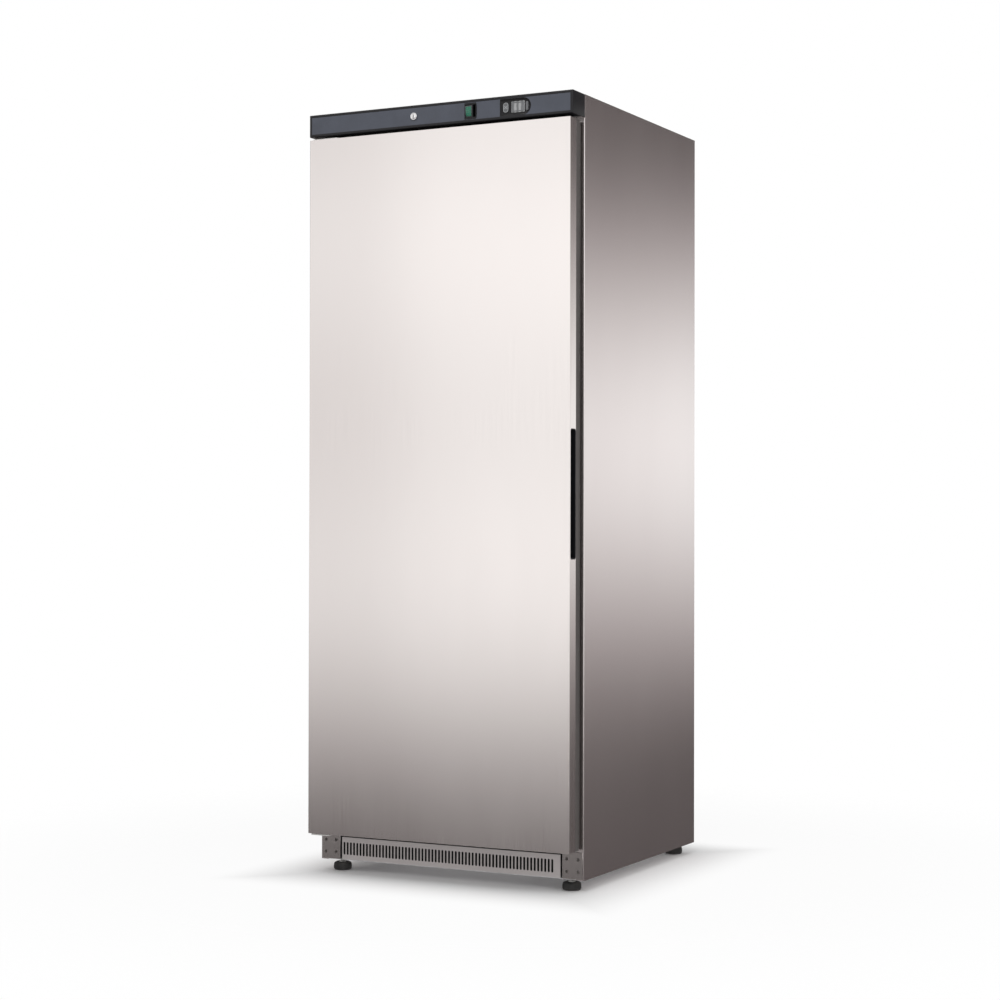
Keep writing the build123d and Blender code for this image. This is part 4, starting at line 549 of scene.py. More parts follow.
hang(settled(liner, 50), "cabinet", ["inner_liner"])


def in_row(tree, taken, given, shape):
    """Ends a tree in a row of copies of a shape."""
    line = place(tree, "MeshLine", {"Count": taken["Count"], "Offset": taken["Step"]})
    close(tree, taken, given, place(tree, "InstanceOnPoints", {"Points": line, "Instance": shape}))


row_rule, taken, given = rule("row", [("Count", "Int"), ("Step", "Vector")])
in_row(row_rule, taken, given, taken[0])
for side in (-1, 1):
    nose = eased([(side * 314, 355), (side * 301, 361.5), (side * 301, 372), (side * 314, 372)],
        [0, 4, 2.5, 0], 4)
    bar(nose, "y", -272.5, 264.5)
grown("liner_ledges", row_rule, white_liner, "liner_white", cleared("ledge", scale=1), smooth=50,
    Count=10, Step=(0.0, 0.0, 125.0))

# Shelves: grey epoxy-coated steel rod, bent to a frame with two cross rods, with wires laid over
# it front to back and welded, their ends turned down over the frame.
wire_rule, taken, given = rule("wirework", [("Count", "Int"), ("Step", "Vector"), ("Bend", "Float"),
    ("Bend Steps", "Int"), ("Radius", "Float"), ("Sides", "Int")])
bent = place(wire_rule, "FilletCurve", {"Curve": place(wire_rule, "MeshToCurve", {0: taken[0]}),
    "Count": taken["Bend Steps"], "Radius": taken["Bend"], "Limit Radius": True}, mode="POLY")
section = place(wire_rule, "CurvePrimitiveCircle", {"Resolution": taken["Sides"],
    "Radius": taken["Radius"]})
wire = place(wire_rule, "CurveToMesh", {"Curve": bent, "Profile Curve": section, "Fill Caps": True})
in_row(wire_rule, taken, given, wire)
shelf_grey = plastic("shelf_grey", (0.62, 0.63, 0.64), 0.34, 0.1, 420.0, 0.00006, 0.15, 0.03,
    Coat_Weight=0.25)
for number, z in enumerate((372, 747, 1122, 1372), start=1):
    rim = along([(-307, -271.5, z + 3), (307, -271.5, z + 3), (307, 263.5, z + 3),
        (-307, 263.5, z + 3)], closed=True)
    grown(f"shelf_rim_{number}", wire_rule, shelf_grey, "shelf_coat", rim, node=f"shelf_{number}",
        Bend=9.0, Bend_Steps=5, Radius=3.0, Sides=10)
    rods = along(*[[(-306, y, z + 3), (306, y, z + 3)] for y in (-94.2, 86.2)])
    grown(f"shelf_rods_{number}", wire_rule, shelf_grey, "shelf_coat", rods, Radius=3.0, Sides=8)
    wires = along([(-273.6, -272.3, z + 2.2), (-273.6, -272.3, z + 8), (-273.6, 264.3, z + 8),
        (-273.6, 264.3, z + 2.2)])
    grown(f"shelf_wires_{number}", wire_rule, shelf_grey, "shelf_coat", wires, Count=19,
        Step=(30.4, 0.0, 0.0), Bend=2.6, Bend_Steps=3, Radius=1.9, Sides=7)


# Evaporator: aluminium fins pressed on copper tube, hung from the ceiling behind the fan. The tube
# goes through the fins in two rows of four passes.
def bare_metal(name, colour, rough, spread=0.1, worn=0.3, spots=0.3):
    """Drawn or pressed metal with dull oxide patches."""
    finish, tree, shader, here = material(name, colour, rough, 1.0)
    grain = use(tree, brushed, Place=here, Lines=(300.0, 300.0, 300.0), Base=rough, Spread=spread)
    feed(tree, shader, {"Roughness": grain["Roughness"]})
    stain = sum_of(tree, "MULTIPLY", between(tree, noise(tree, here, 28.0, 5.0), 0.5, 0.75), spots)
    body = tinted(tree, shader, stain, colour, tuple(c * 0.35 for c in colour))
    tinted(tree, shader, use(tree, edge_wear, Place=here, Width=0.001, Amount=worn)[0], body,
        tuple(min(1, c * 1.3) for c in colour))
    return finish


fin_metal = bare_metal("fin_metal", (0.76, 0.77, 0.78), 0.3)
copper = bare_metal("copper", (0.8, 0.46, 0.31), 0.28, 0.16, 0.2, 0.55)
bar(box(46.5, 196.5, 1710, 1787.6), "x", -220, -219.4)
grown("coil_fins", row_rule, fin_metal, "fin_aluminium", cleared("fin", scale=1), node="evaporator",
    Count=74, Step=(439.4 / 73, 0.0, 0.0))
passes = along(*[[(-219.8, y, z), (219.8, y, z)] for y in (71.5, 104.5, 138.5, 171.5)
    for z in (1732, 1766)])
grown("coil_tubes", wire_rule, copper, "copper", passes, Radius=4.7, Sides=14)

# Fan: a small shaded-pole motor on a pedestal, driving a plastic wheel. Its five blades are moulded
# in one with the hub, swept, and pitched less towards their tips.
fan_axis = 0, 0, 1714
motor_black = plastic("motor_black", (0.05, 0.05, 0.055), 0.4, 0.12, 900.0, 0.00006, 0.3)
turned([(8, -5.5), (22, -5.5), (24, -3.5), (24, 4), (23.2, 5), (23.2, 24), (24, 25), (24, 29),
    (19, 34.3), (8, 34.5)], fan_axis, "y", 36)
turned([(2.5, -29), (2.5, -5)], fan_axis, "y", 16)
for x0, x1 in ((-9, -6), (6, 9)):
    bar(box(x0, x1, 1642, 1693), "y", 2.5, 26.5)
bar(box(-9, 9, 1642, 1644), "y", 2.5, 26.5)
finished("fan_drive", motor_black, "fan_plastic", "fan_motor", ease=0.5)
fan_plastic = plastic("fan_plastic", (0.09, 0.09, 0.1), 0.36, 0.1, 900.0, 0.00003, 0.25)
wheel_rule, taken, given = rule("wheel", [("Count", "Int"), ("Middle", "Vector")])
spot = place(wheel_rule, "MeshLine", {"Count": taken["Count"], "Start Location": taken["Middle"],
    "Offset": (0, 0, 0)})
turn = sum_of(wheel_rule, "MULTIPLY", sum_of(wheel_rule, "DIVIDE", place(wheel_rule, "InputIndex"),
    taken["Count"]), tau)
close(wheel_rule, taken, given, place(wheel_rule, "InstanceOnPoints",
    {"Points": spot, "Instance": taken[0], "Rotation": place(wheel_rule, "ShaderNodeCombineXYZ",
    {1: turn})}))
blade = []
for k in range(9):
    s = k / 8
    radius = 17.5 + 50 * s
    chord, twist, sweep = 26 + 22 * s * (1.35 - s), radians(38 - 18 * s), radians(20 * s)
    row = []
    for face in (1, -1):
        for j in range(7) if face > 0 else reversed(range(7)):
            t = j / 6 - 0.5
            camber = (0.25 - t * t) * 5 + face * (0.9 - 0.4 * abs(t)) * (1 - 0.4 * s)
            a = sweep + t * chord * cos(twist) / radius
            row.append((radius * sin(a), t * chord * sin(twist) - camber * cos(twist),
                radius * cos(a)))
    blade.append(row)
lofted(blade)
grown("fan_blades", wheel_rule, fan_plastic, "fan_plastic", cleared("blade", scale=1),
    node="fan_rotor", body="fan", smooth=60, Count=5, Middle=(0.0, -21.2, 1714.0))
turned([(2.6, -32.5), (12, -32.5), (16.5, -31.6), (18.6, -29), (19, -26), (19, -10.5), (17, -10.5),
    (17, -27), (5, -28), (5, -10.5), (2.6, -10.5)], fan_axis, "y", 36, again=True)
finished("fan_hub", fan_plastic, "fan_plastic", body="fan")

# Evaporator cover: a white folded tray under the ceiling with a round mouth for the fan, a wire
# guard over it, and a row of return slots in its floor.
strip_rule, taken, given = rule("slotted_strip", [("Length", "Float"), ("Height", "Float"),
    ("Slots", "Int"), ("Pitch", "Float"), ("Wide", "Float"), ("Tall", "Float"), ("First", "Vector"),
    ("Sheet", "Float"), ("Turn", "Vector"), ("Middle", "Vector")])
edge = place(strip_rule, "CurvePrimitiveQuadrilateral", {"Width": taken["Length"],
    "Height": taken["Height"]})
hole = place(strip_rule, "CurvePrimitiveQuadrilateral", {"Width": taken["Wide"],
    "Height": taken["Tall"]})
hole = place(strip_rule, "FilletCurve", {"Curve": hole, "Count": 5,
    "Radius": sum_of(strip_rule, "MULTIPLY", taken["Wide"], 0.49)}, mode="POLY")
row = place(strip_rule, "MeshLine", {"Count": taken["Slots"], "Start Location": taken["First"],
    "Offset": place(strip_rule, "ShaderNodeCombineXYZ", {0: taken["Pitch"]})})
holes = place(strip_rule, "RealizeInstances", {0: place(strip_rule, "InstanceOnPoints",
    {"Points": row, "Instance": hole})})
flat = place(strip_rule, "FillCurve", {0: join(strip_rule, edge, holes)}, mode="TRIANGLES")
thick = place(strip_rule, "ExtrudeMesh", {"Mesh": flat, "Offset Scale": taken["Sheet"],
    "Individual": False})
under = place(strip_rule, "FlipFaces", {0: flat})
strip = place(strip_rule, "MergeByDistance", {0: join(strip_rule, thick, under), "Distance": 0.001})
close(strip_rule, taken, given, place(strip_rule, "Transform", {0: strip, "Rotation": taken["Turn"],
    "Translation": taken["Middle"]}))
grown("cover_floor", strip_rule, white_liner, "liner_white", smooth=30, Length=566.0, Height=314.0,
    Slots=12, Pitch=40.0, Wide=8.0, Tall=90.0, First=(-220.0, 82.0, 0.0), Sheet=2.0,
    Turn=(0.0, 0.0, 0.0), Middle=(0.0, 119.5, 1640.0))


def pierced(outer, holes, axis, low, high):
    """Flat plate with holes: both faces are triangulated, and every edge gets its wall."""
    loops = [outer] + list(holes)
    faces = tessellate_polygon([[Vector((a, b, 0)) for a, b in loop] for loop in loops])
    flat = [point for loop in loops for point in loop]
    sheets = [[bench.verts.new(p) for p in raised(flat, axis, at)] for at in (low, high)]
    for tri in faces:
        bench.faces.new([sheets[0][i] for i in tri])
        bench.faces.new([sheets[1][i] for i in reversed(tri)])
    start = 0
    for loop in loops:
        for k in range(len(loop)):
            i, j = start + k, start + (k + 1) % len(loop)
            bench.faces.new((sheets[0][i], sheets[0][j], sheets[1][j], sheets[1][i]))
        start += len(loop)


def disc(x, z, radius, sides=32):
    return [(x + radius * cos(tau * k / sides), z + radius * sin(tau * k / sides))
        for k in range(sides)]


pierced(box(-285, 285, 1640, 1788, [6, 6, 0, 0]), [disc(0, 1714, 71.5, 48)], "y", -39.5, -37.5)
for side in (-1, 1):
    bar([(side * x, z) for x, z in box(283, 285, 1646, 1788)], "y", -38, 276.5)
    bar(eased([(side * 283, 1640), (side * 285, 1640), (side * 285, 1647), (side * 283, 1647)],
        [0, 1.9, 0, 0], 4), "y", -38, 276.5)
turned([(72.4, -39.4), (70.4, -39.4), (68.8, -38.4), (68.6, -34), (70.6, -34), (70.8, -37.2)],
    fan_axis, "y", 48, again=True)
finished("cover_tray", white_liner, "liner_white", "evaporator_cover", smooth=40)
guard_rule, taken, given = rule("wire_guard", [("Rings", "Int"), ("First", "Float"),
    ("Step", "Float"), ("Radius", "Float"), ("Middle", "Vector")])
spot = place(guard_rule, "MeshLine", {"Count": taken["Rings"], "Start Location": taken["Middle"],
    "Offset": (0, 0, 0)})
wide = sum_of(guard_rule, "ADD", taken["First"], sum_of(guard_rule, "MULTIPLY",
    place(guard_rule, "InputIndex"), taken["Step"]))
hoop = place(guard_rule, "CurvePrimitiveCircle", {"Resolution": 40, "Radius": 1.0})
hoops = place(guard_rule, "InstanceOnPoints", {"Points": spot, "Instance": hoop,
    "Rotation": (pi / 2, 0, 0), "Scale": wide})
hoops = place(guard_rule, "RealizeInstances", {0: hoops})
spokes = place(guard_rule, "MeshToCurve", {0: taken[0]})
thin = place(guard_rule, "CurvePrimitiveCircle", {"Resolution": 8, "Radius": taken["Radius"]})
close(guard_rule, taken, given, place(guard_rule, "CurveToMesh",
    {"Curve": join(guard_rule, hoops, spokes), "Profile Curve": thin}))
arms = along(*[[(12 * cos(a), -38.3, 1714 + 12 * sin(a)), (71 * cos(a), -38.3, 1714 + 71 * sin(a))]
    for a in (tau * k / 6 + pi / 6 for k in range(6))])
grown("fan_guard", guard_rule, shelf_grey, "shelf_coat", arms, smooth=60, Rings=6, First=12.0,
    Step=10.6, Radius=1.1, Middle=(0.0, -38.3, 1714.0))

# Probe: a steel capsule under the cover, where the air returns, held in a moulded clip of natural
# nylon.
nylon = plastic("nylon", (0.8, 0.8, 0.76), 0.45, 0.1, 900.0)
probe_steel = bare_metal("probe_steel", (0.62, 0.61, 0.6), 0.24)
turned([(0.4, 150), (2.4, 150.5), (3.4, 152.4), (3.5, 155), (3.5, 186), (2.2, 188), (2.2, 192)],
    (0, -29.5, 1635), "x", 20)
finished("probe_capsule", probe_steel, "stainless", "temperature_probe")
bar(box(-34.5, -24.5, 1630.2, 1640, [2, 2, 0, 0]), "x", 166, 176)
finished("probe_clip", nylon, "natural_plastic", ease=0.4)

# Compressor: a black enamelled steel pot, drawn in two halves and welded at its waist, on a pressed
# plate that stands on four rubber mounts.
pot_x, pot_y = -70, 274.5
enamel = plastic("black_enamel", (0.016, 0.016, 0.018), 0.3, 0.05, 900.0, 0.00002, 0.25,
    Coat_Weight=0.35)
turned([(40, 50), (66, 51.5), (77, 57), (82.4, 66), (84, 78), (84, 123.5), (86.4, 124.5), (87, 126),
    (87, 128.6), (86.2, 130), (83.2, 131), (82.4, 160), (79, 178), (71, 192), (56, 201.5),
    (34, 206.6), (0.05, 207.5)], (pot_x, pot_y, 0), sides=56)
plate = box(-163, 23, 215.5, 333.5, 12, 6)
pierced(plate, [disc(pot_x + a, pot_y + b, 7.4, 20) for a in (-73, 73) for b in (-39, 39)], "z",
    46.5, 49.5)
finished("compressor_pot", enamel, "black_enamel", "compressor", smooth=40)
for a in (-73, 73):
    for b in (-39, 39):
        turned([(10.4, 32.5), (11, 33.4), (11, 36), (9, 38), (9, 40), (10.6, 42), (10.6, 45.6),
            (10, 46.5)], (pot_x + a, pot_y + b, 0), sides=24)
finished("rubber_mounts", foot_rubber, "pad_rubber", "compressor_mounts")

# Evaporation tray: a black open dish on the warm pot, under the end of the drain, moulded with a
# stiff rim turned outwards.
black_plastic = plastic("black_plastic", (0.009, 0.009, 0.0105), 0.42, 0.15, 1300.0, 0.00004, 0.15,
    Specular_IOR_Level=0.3)


def tray_ring(half, z, corner):
    return raised(box(pot_x - half, pot_x + half, pot_y - half, pot_y + half, corner, 6), "z", z)


lofted([tray_ring(h, z, c) for h, z, c in ((70, 207.6, 10), (73, 208.2, 12), (74.6, 211, 12),
    (75.4, 234, 13), (76.4, 235.6, 14), (78, 236, 15), (78, 237.5, 15), (74.6, 237.5, 12),
    (73.6, 236, 12), (72.8, 212, 11), (71, 210, 10), (66, 209.6, 8))])
finished("drip_dish", black_plastic, "black_plastic", "evaporation_tray", smooth=45)

# Drain: a milky plastic tube with a flange, pushed from the storage space through the insulated
# floor.
milky = plastic("milky_plastic", (0.82, 0.82, 0.78), 0.38, 0.08, 700.0)
turned([(6.5, 246), (8, 246), (8, 333.6), (11.6, 333.8), (12, 334.6), (11.4, 335.4), (7.6, 335.4),
    (6.5, 334)], (0, 260.5, 0), sides=32, again=True)
finished("drain_pipe", milky, "natural_plastic", "drain_tube")
dress(milky, "condenser_clips")

# Condenser: black enamelled steel tube bent in fifteen passes behind the back panel, with thin
# upright wires welded across both its sides.
coil_x, coil_y = 338.5, 353.5
stack = [(-coil_x, coil_y, 300)]
for i in range(15):
    z, side = 420 + 75 * i, 1 if i % 2 else -1
    stack += [(side * (coil_x if i == 0 else 329.5), coil_y, z)]
    stack += [(-side * (coil_x if i == 14 else 329.5), coil_y, z)]
stack.append((coil_x, coil_y, 400))
grown("condenser_tube", wire_rule, enamel, "black_enamel", along(stack), node="condenser",
    smooth=50, Bend=37.4, Bend_Steps=7, Radius=3.0, Sides=12)
for name, y in (("condenser_wires_front", 349.5), ("condenser_wires_rear", 357.5)):
    grown(name, wire_rule, enamel, "black_enamel", along([(-282, y, 414.4), (-282, y, 1475.6)]),
        smooth=60, Count=48, Step=(12.0, 0.0, 0.0), Radius=1.0, Sides=5)

# Copper lines: the discharge line from the pot to the condenser, the suction line up into the
# foam, and a drier with its capillary at the condenser's end, all brazed.
grown("discharge_line", wire_rule, copper, "copper", along([(-154, pot_y, 146),
    (-coil_x, pot_y, 146), (-coil_x, coil_y, 146), (-coil_x, coil_y, 300)]),
    node="refrigerant_lines", smooth=50, Bend=22.0, Bend_Steps=8, Radius=3.0, Sides=16)
grown("suction_line", wire_rule, copper, "copper", along([(14, pot_y, 104), (74, pot_y, 104),
    (74, pot_y, 282)]), smooth=50, Bend=22.0, Bend_Steps=8, Radius=4.0, Sides=16)
turned([(3, 310), (4, 311), (4.4, 316), (7.4, 320.6), (9, 325), (9, 385), (7.4, 389.4), (4.4, 394),
    (4, 399), (3, 400)], (coil_x, coil_y, 0), sides=28)
for z in (297, 302):
    turned([(3, z - 3), (3.9, z - 1.5), (3.9, z + 1.5), (3, z + 3)], (-coil_x, coil_y, 0), sides=16)
finished("drier_capsule", copper, "copper", "filter_drier", smooth=50)
grown("capillary", wire_rule, copper, "copper", along([(coil_x, coil_y, 310), (coil_x, coil_y, 270),
    (coil_x, 319.5, 270), (coil_x, 319.5, 282)]), smooth=50, Bend=8.0, Bend_Steps=6, Radius=1.5,
    Sides=10)

# Cable gland: black nylon, screwed through the rear cross rail, with a hexagon for the spanner and
# a dome nut round its mouth.
gland_axis = 230, 0, 41.5
turned([(4.5, 363.5), (7.6, 363.5), (7.6, 368.5), (4.5, 368.5)], gland_axis, "y", 24, again=True)
turned([(4.6, 368.5), (10.9, 368.5), (10.9, 374.5), (4.6, 374.5)], gland_axis, "y", 6, again=True)
turned([(4.6, 374.3), (7.6, 374.3), (7.6, 376.8), (6.4, 378.2), (4.6, 378.5)], gland_axis, "y", 24,
    again=True)
finished("lead_gland", black_plastic, "black_plastic", "cable_gland")


# Door skin: one stainless sheet with an upright grain, bent round the door's upright edges and
# hemmed behind, with a slot in its right-hand return for the grip.
door_steel = brushed_steel("door_steel", (0.815, 0.775, 0.758), 0.19, 0.07, Anisotropic=0.35)
skin = [(-361, -348.5), (-361, -382.5), (361, -382.5), (361, -348.5), (352, -348.5), (352, -349.5),
    (360, -349.5), (360, -381.5), (-360, -381.5), (-360, -349.5), (-352, -349.5), (-352, -348.5)]
loop = eased(skin, [1.2, 4, 4, 1.2, 0, 0, 0.3, 3, 3, 0.3, 0, 0], 6)
bar(loop, "z", 101, 1831)
door_skin = finished("door_sheet", door_steel, "stainless", "door_skin", body="door")
grip_mouth = box(-378.5, -349.5, 790, 1098, 6, 6)


def punched(piece, name, smooth=35):
    """What stands on the bench is cut out of a finished piece."""
    punch = bpy.data.objects.new(name, cleared(name))
    scene.collection.objects.link(punch)
    cut = piece.modifiers.new(name, "BOOLEAN")
    cut.object, cut.operation, cut.solver = punch, "DIFFERENCE", "EXACT"
    settled(piece, smooth)
    bpy.data.objects.remove(punch)


bar(grip_mouth, "x", 358, 363)
punched(door_skin, "grip_slot")

# Grip: a black moulded pocket pushed into the slot, with a thin lip on the steel, a finger
# hollow that rounds off at its back, and open towards the right.


def grip_ring(shrink, x, corner):
    return raised(box(-378.5 + shrink, -349.5 - shrink, 790 + shrink, 1098 - shrink, corner, 6),
        "x", x)


lofted([grip_ring(0.2, 315, 5), grip_ring(0.2, 360.9, 5), grip_ring(0.6, 361, 5),
    grip_ring(1.4, 361, 5), grip_ring(2.2, 360.4, 4.4), grip_ring(2.4, 358, 4.2),
    grip_ring(2.8, 330, 4), grip_ring(4.2, 322, 4), grip_ring(8, 318.2, 4), grip_ring(11, 317, 3)])
finished("grip_cup", black_plastic, "black_plastic", "grip_pocket", body="door")

# Ends and edges of the door: smoke-black mouldings that close the foam and carry the hinge bushes,
# with a thin lip that wraps the raw edge of the door liner. Their dark is partly their own colour
# and partly painted shade for the gap between door and cabinet.
def framed(profile, half_wide, half_tall, middle, corner=0.0, steps=3):
    """A section carried round an upright rectangle; profile rows are (outwards, y)."""
    rings = []
    for out, y in profile:
        wide, tall = half_wide + out, half_tall + out
        radius = max(corner + out, 0.02) if corner else 0
        rings.append(raised(box(-wide, wide, middle - tall, middle + tall, radius, steps), "y", y))
    lofted(rings, again=True)


# The smoke-black is partly the mouldings' own colour and partly painted shade, darkened for the gap
# between door and cabinet.
smoke_plastic = plastic("smoke_plastic", (0.085, 0.077, 0.073), 0.5, 0.12, 1100.0, 0.00004, 0.1)
dress(smoke_plastic, "door_top_cap", "door_bottom_cap", "door_edge_strips")
framed([(-9.5, -322.45), (-9.5, -321.8), (-8.9, -321.5), (10.6, -321.5), (11, -321.9),
    (11, -324.45), (10.05, -324.45), (10.05, -322.45)], 348, 852, 966, -4, 4)
finished("door_edge_lips", smoke_plastic, "black_plastic", body="door", smooth=50)

# Gasket: dark grey extruded seal with a bellows, welded at its mitred corners and pushed by its
# root into the door liner.
seal_rubber = plastic("seal_rubber", (0.16, 0.16, 0.17), 0.6, 0.1, 500.0, 0.00003, 0.1)
bellows = [(-4, -322.5), (4, -322.5), (4, -319.6), (6.7, -319), (7.5, -317.4), (5.4, -315.6),
    (7.5, -313.8), (7.3, -311.5), (6.2, -310.8), (-6.2, -310.8), (-7.3, -311.5), (-7.5, -313.8),
    (-5.4, -315.6), (-7.5, -317.4), (-6.7, -319), (-4, -319.6)]
framed(bellows, 329.5, 833.5, 966, 10)
finished("door_seal", seal_rubber, "gasket", "door_gasket", body="door", smooth=50)

# Door liner: white vacuum-formed sheet, flat under the gasket, with a raised ridge that enters
# the mouth of the storage space.
ridge = [(-17, -322.4), (-15.4, -312), (-14, -305.4), (-12.6, -303.4), (-10, -302.5), (10, -302.5),
    (12.6, -303.4), (14, -305.4), (15.4, -312), (17, -322.4)]
bar(box(-358, 358, 104, 1828, 6), "y", -324.5, -322.5)
framed(ridge, 284, 790, 969, 22, 6)
finished("door_inner_sheet", white_liner, "liner_white", "door_liner", body="door", smooth=50)

# Hinges: a 3 mm stainless angle over the door, a pressed bracket under it with a pin and washer,
# and natural nylon bushes in the door's caps. A blank bracket matches it at the right.
bracket_steel = brushed_steel("bracket_steel", (0.52, 0.49, 0.48), 0.2, 0.08, worn=0.35, dusty=0.3)
plated_leaf = brushed_steel("plated_leaf", (0.8, 0.79, 0.77), 0.3, 0.1, metal=0.35)
bar(box(-361, -285, -370.5, -310.5, [8, 8, 0, 0], 5), "z", 1832.5, 1835.5)
bar(box(-361, -285, 1832.5, 1876.5), "y", -313.5, -310.5)
finished("upper_hinge_angle", plated_leaf, "stainless", "upper_hinge_plate", ease=0.5)
bracket_x, bracket_z = 336, 62.5
for name, node, side in (("lower_bracket", "lower_hinge_bracket", -1),
        ("blank_plate", "blank_bracket", 1)):
    x = side * bracket_x
    face = raised(box(x - 27, x + 27, 30, 95, 1.5, 3), "y", -310.5)
    lofted([face, raised(box(x - 27, x + 27, 30, 95, 1.5, 3), "y", -312.1),
        raised(box(x - 26.6, x + 26.6, 30.4, 94.6, 1.4, 3), "y", -312.5)])
    lofted([raised(box(x - s, x + s, bracket_z - s, bracket_z + s, 2.5, 3), "y", y)
        for s, y in ((11, -312.4), (11, -312.85), (10.85, -313), (8.6, -313))])
    finished(name, bracket_steel, "stainless", node, smooth=25)
bar(box(-363, -309, -368.5, -310.5, [8, 8, 0, 0], 5), "z", 95, 98)
finished("lower_hinge_leaf", plated_leaf, "stainless", ease=0.4)
hinge_axis = -343, -346.5, 0
bright_pin = brushed_steel("bright_pin", (0.8, 0.79, 0.78), 0.16, 0.08, (60.0, 60.0, 2500.0))
turned([(5, 95), (5, 120), (4.2, 121)], hinge_axis, sides=24)
turned([(8.6, 98), (9, 98.3), (9, 99.6), (8.6, 99.95)], hinge_axis, sides=28)
turned([(4.2, 1811), (5, 1812), (5, 1835.1), (4.4, 1835.5)], hinge_axis, sides=24)
finished("hinge_pivot", bright_pin, "chrome", "hinge_pins")
for flip, z in ((1, 101), (-1, 1831)):
    rows = [(5.05, -1), (10.6, -1), (11, -0.7), (11, 0), (8, 0), (8, 21), (5.05, 21)]
    turned([(r, z + flip * h) for r, h in rows], hinge_axis, sides=28, again=True)
finished("nylon_bushes", nylon, "natural_plastic", "hinge_bushes", body="door")


# Hinge and bracket screws: dark pan heads with a straight slot, each driven to its own angle, four
# in each bracket and two in the upper angle.
screw_rule, taken, given = rule("screws", [("Head", "Float"), ("Rise", "Float"), ("Slot", "Float"),
    ("Turn", "Vector"), ("Seed", "Int")])
head = place(screw_rule, "MeshCone", {"Vertices": 20, "Side Segments": 2,
    "Radius Top": sum_of(screw_rule, "MULTIPLY", taken["Head"], 0.7),
    "Radius Bottom": taken["Head"], "Depth": taken["Rise"]})
blade = place(screw_rule, "MeshCube", {0: place(screw_rule, "ShaderNodeCombineXYZ",
    {0: taken["Slot"], 1: 40.0, 2: sum_of(screw_rule, "MULTIPLY", taken["Rise"], 1.1)})})
blade = place(screw_rule, "Transform", {0: blade, "Translation": place(screw_rule,
    "ShaderNodeCombineXYZ", {2: taken["Rise"]})})
slotted = place(screw_rule, "MeshBoolean", {"Mesh 1": head, "Mesh 2": blade},
    operation="DIFFERENCE")
spin = place(screw_rule, "FunctionNodeRandomValue", {"Max": (0, 0, 3.1), "Seed": taken["Seed"]},
    data_type="FLOAT_VECTOR")
heads = place(screw_rule, "InstanceOnPoints", {"Points": taken[0], "Instance": slotted,
    "Rotation": taken["Turn"]})
heads = place(screw_rule, "RotateInstances", {"Instances": heads, "Rotation": spin})
close(screw_rule, taken, given, heads)
screw_steel = brushed_steel("screw_steel", (0.12, 0.11, 0.105), 0.4, 0.1, (300.0, 300.0, 300.0),
    worn=0.4, dusty=0.2)
seats = [(side * bracket_x + a, -312.5, bracket_z + b) for side in (-1, 1) for a in (-15, 15)
    for b in (-15, 15)]
seats += [(-323 + a, -313.5, 1859.78) for a in (-15, 15)]
grown("bracket_screws", screw_rule, screw_steel, "chrome", along(*[[seat] for seat in seats]),
    node="hinge_screws", Head=4.2, Rise=2.2, Slot=1.1, Turn=(pi / 2, 0, 0), Seed=7)

# Grille: a folded strip of light grey coated steel between the brackets, pierced by 63 upright
# slots with round ends. A black sheet behind it is painted shade: it gives the dark seen through
# the slots and the dark gap round the grille's edge.
grille_coat = brushed_steel("grille_coat", (0.57, 0.535, 0.53), 0.42, 0.08, (5.0, 1500.0, 1500.0),
    metal=0.55, worn=0.35, dusty=0.35)
grown("grille_strip", strip_rule, grille_coat, "grille_steel", node="grille", smooth=30,
    Length=608.0, Height=55.0, Slots=63, Pitch=9.35, Wide=5.6, Tall=32.0,
    First=(-7.5 - 31 * 9.35, -0.5, 0.0), Sheet=0.7, Turn=(pi / 2, 0.0, 0.0),
    Middle=(0.0, -310.5, 58.5))
for z0, z1 in ((31, 32.2), (84.8, 86)):
    bar(box(-310.7, -296.5, z0, z1), "x", -304, 304)
finished("grille_lips", grille_coat, "grille_steel", ease=0.3)
# Painted shade: a near-black sheet behind the grille stands for the shade in its slots and round
# its edge.
felt = plastic("felt", (0.008, 0.008, 0.009), 0.9, 0.1, 2400.0, 0.0003, 0.1, Specular_IOR_Level=0.1)
pierced(box(-312, 312, 31.2, 96.8), [disc(x, 90, 2, 12) for x in (-298, 298)], "y", -309.78,
    -309.52)
finished("grille_felt", felt, "black_plastic")

# Fascia: a black moulding over the door on a bright steel strip, with a slate face let into it. The
# moulding is open below where the cam of the lock and the upper hinge come through.
mid = 1867.25
fascia_black = plastic("fascia_black", (0.012, 0.012, 0.014), 0.34, 0.12, 1600.0, 0.00002, 0.1,
    Specular_IOR_Level=0.3)
fascia_slate = plastic("fascia_slate", (0.06, 0.067, 0.088), 0.32, 0.1, 1800.0, 0.000015, 0.05,
    0.08)
dress(shell_steel, "fascia_strip")
shoulder = [(0, -310.5), (0, -374.4), (-0.5, -375.7), (-1.6, -376.4), (-2.6, -376.5),
    (-6.6, -376.5), (-6.9, -376.35), (-6.9, -376.22), (-3, -376.22), (-3, -310.5)]
framed(shoulder, 365, 27.75, mid, 1.5)
moulding = finished("fascia_moulding", fascia_black, "fascia_black", "fascia", smooth=50)
bar(box(-70.5, -24.2, -343.1, -336.9), "z", 1838, 1844)
bar(box(-362, -284, -318, -309), "z", 1838, 1844)
punched(moulding, "openings", 50)


def switch_loop(grow):
    """Front view of the switch: square at the left, bowed at the right."""
    half = 19.5 + grow
    bow = [(106 + grow + 3 * cos(a), mid + half * sin(a)) for a in (pi / 2 - pi * k / 14
        for k in range(15))]
    return [(76 - grow, mid - half), (76 - grow, mid + half)] + bow


def control_loop(grow, steps=24):
    """Front view of the controller: its right end is half round."""
    half = 21 + grow
    bow = [(234 + half * cos(a), mid + half * sin(a)) for a in (pi / 2 - pi * k / steps
        for k in range(steps + 1))]
    left = eased([(171 - grow, mid - half), (171 - grow, mid + half)] + bow[:1] + bow[-1:],
        [1.6, 1.6, 0, 0], 3)
    return left[:-2] + bow


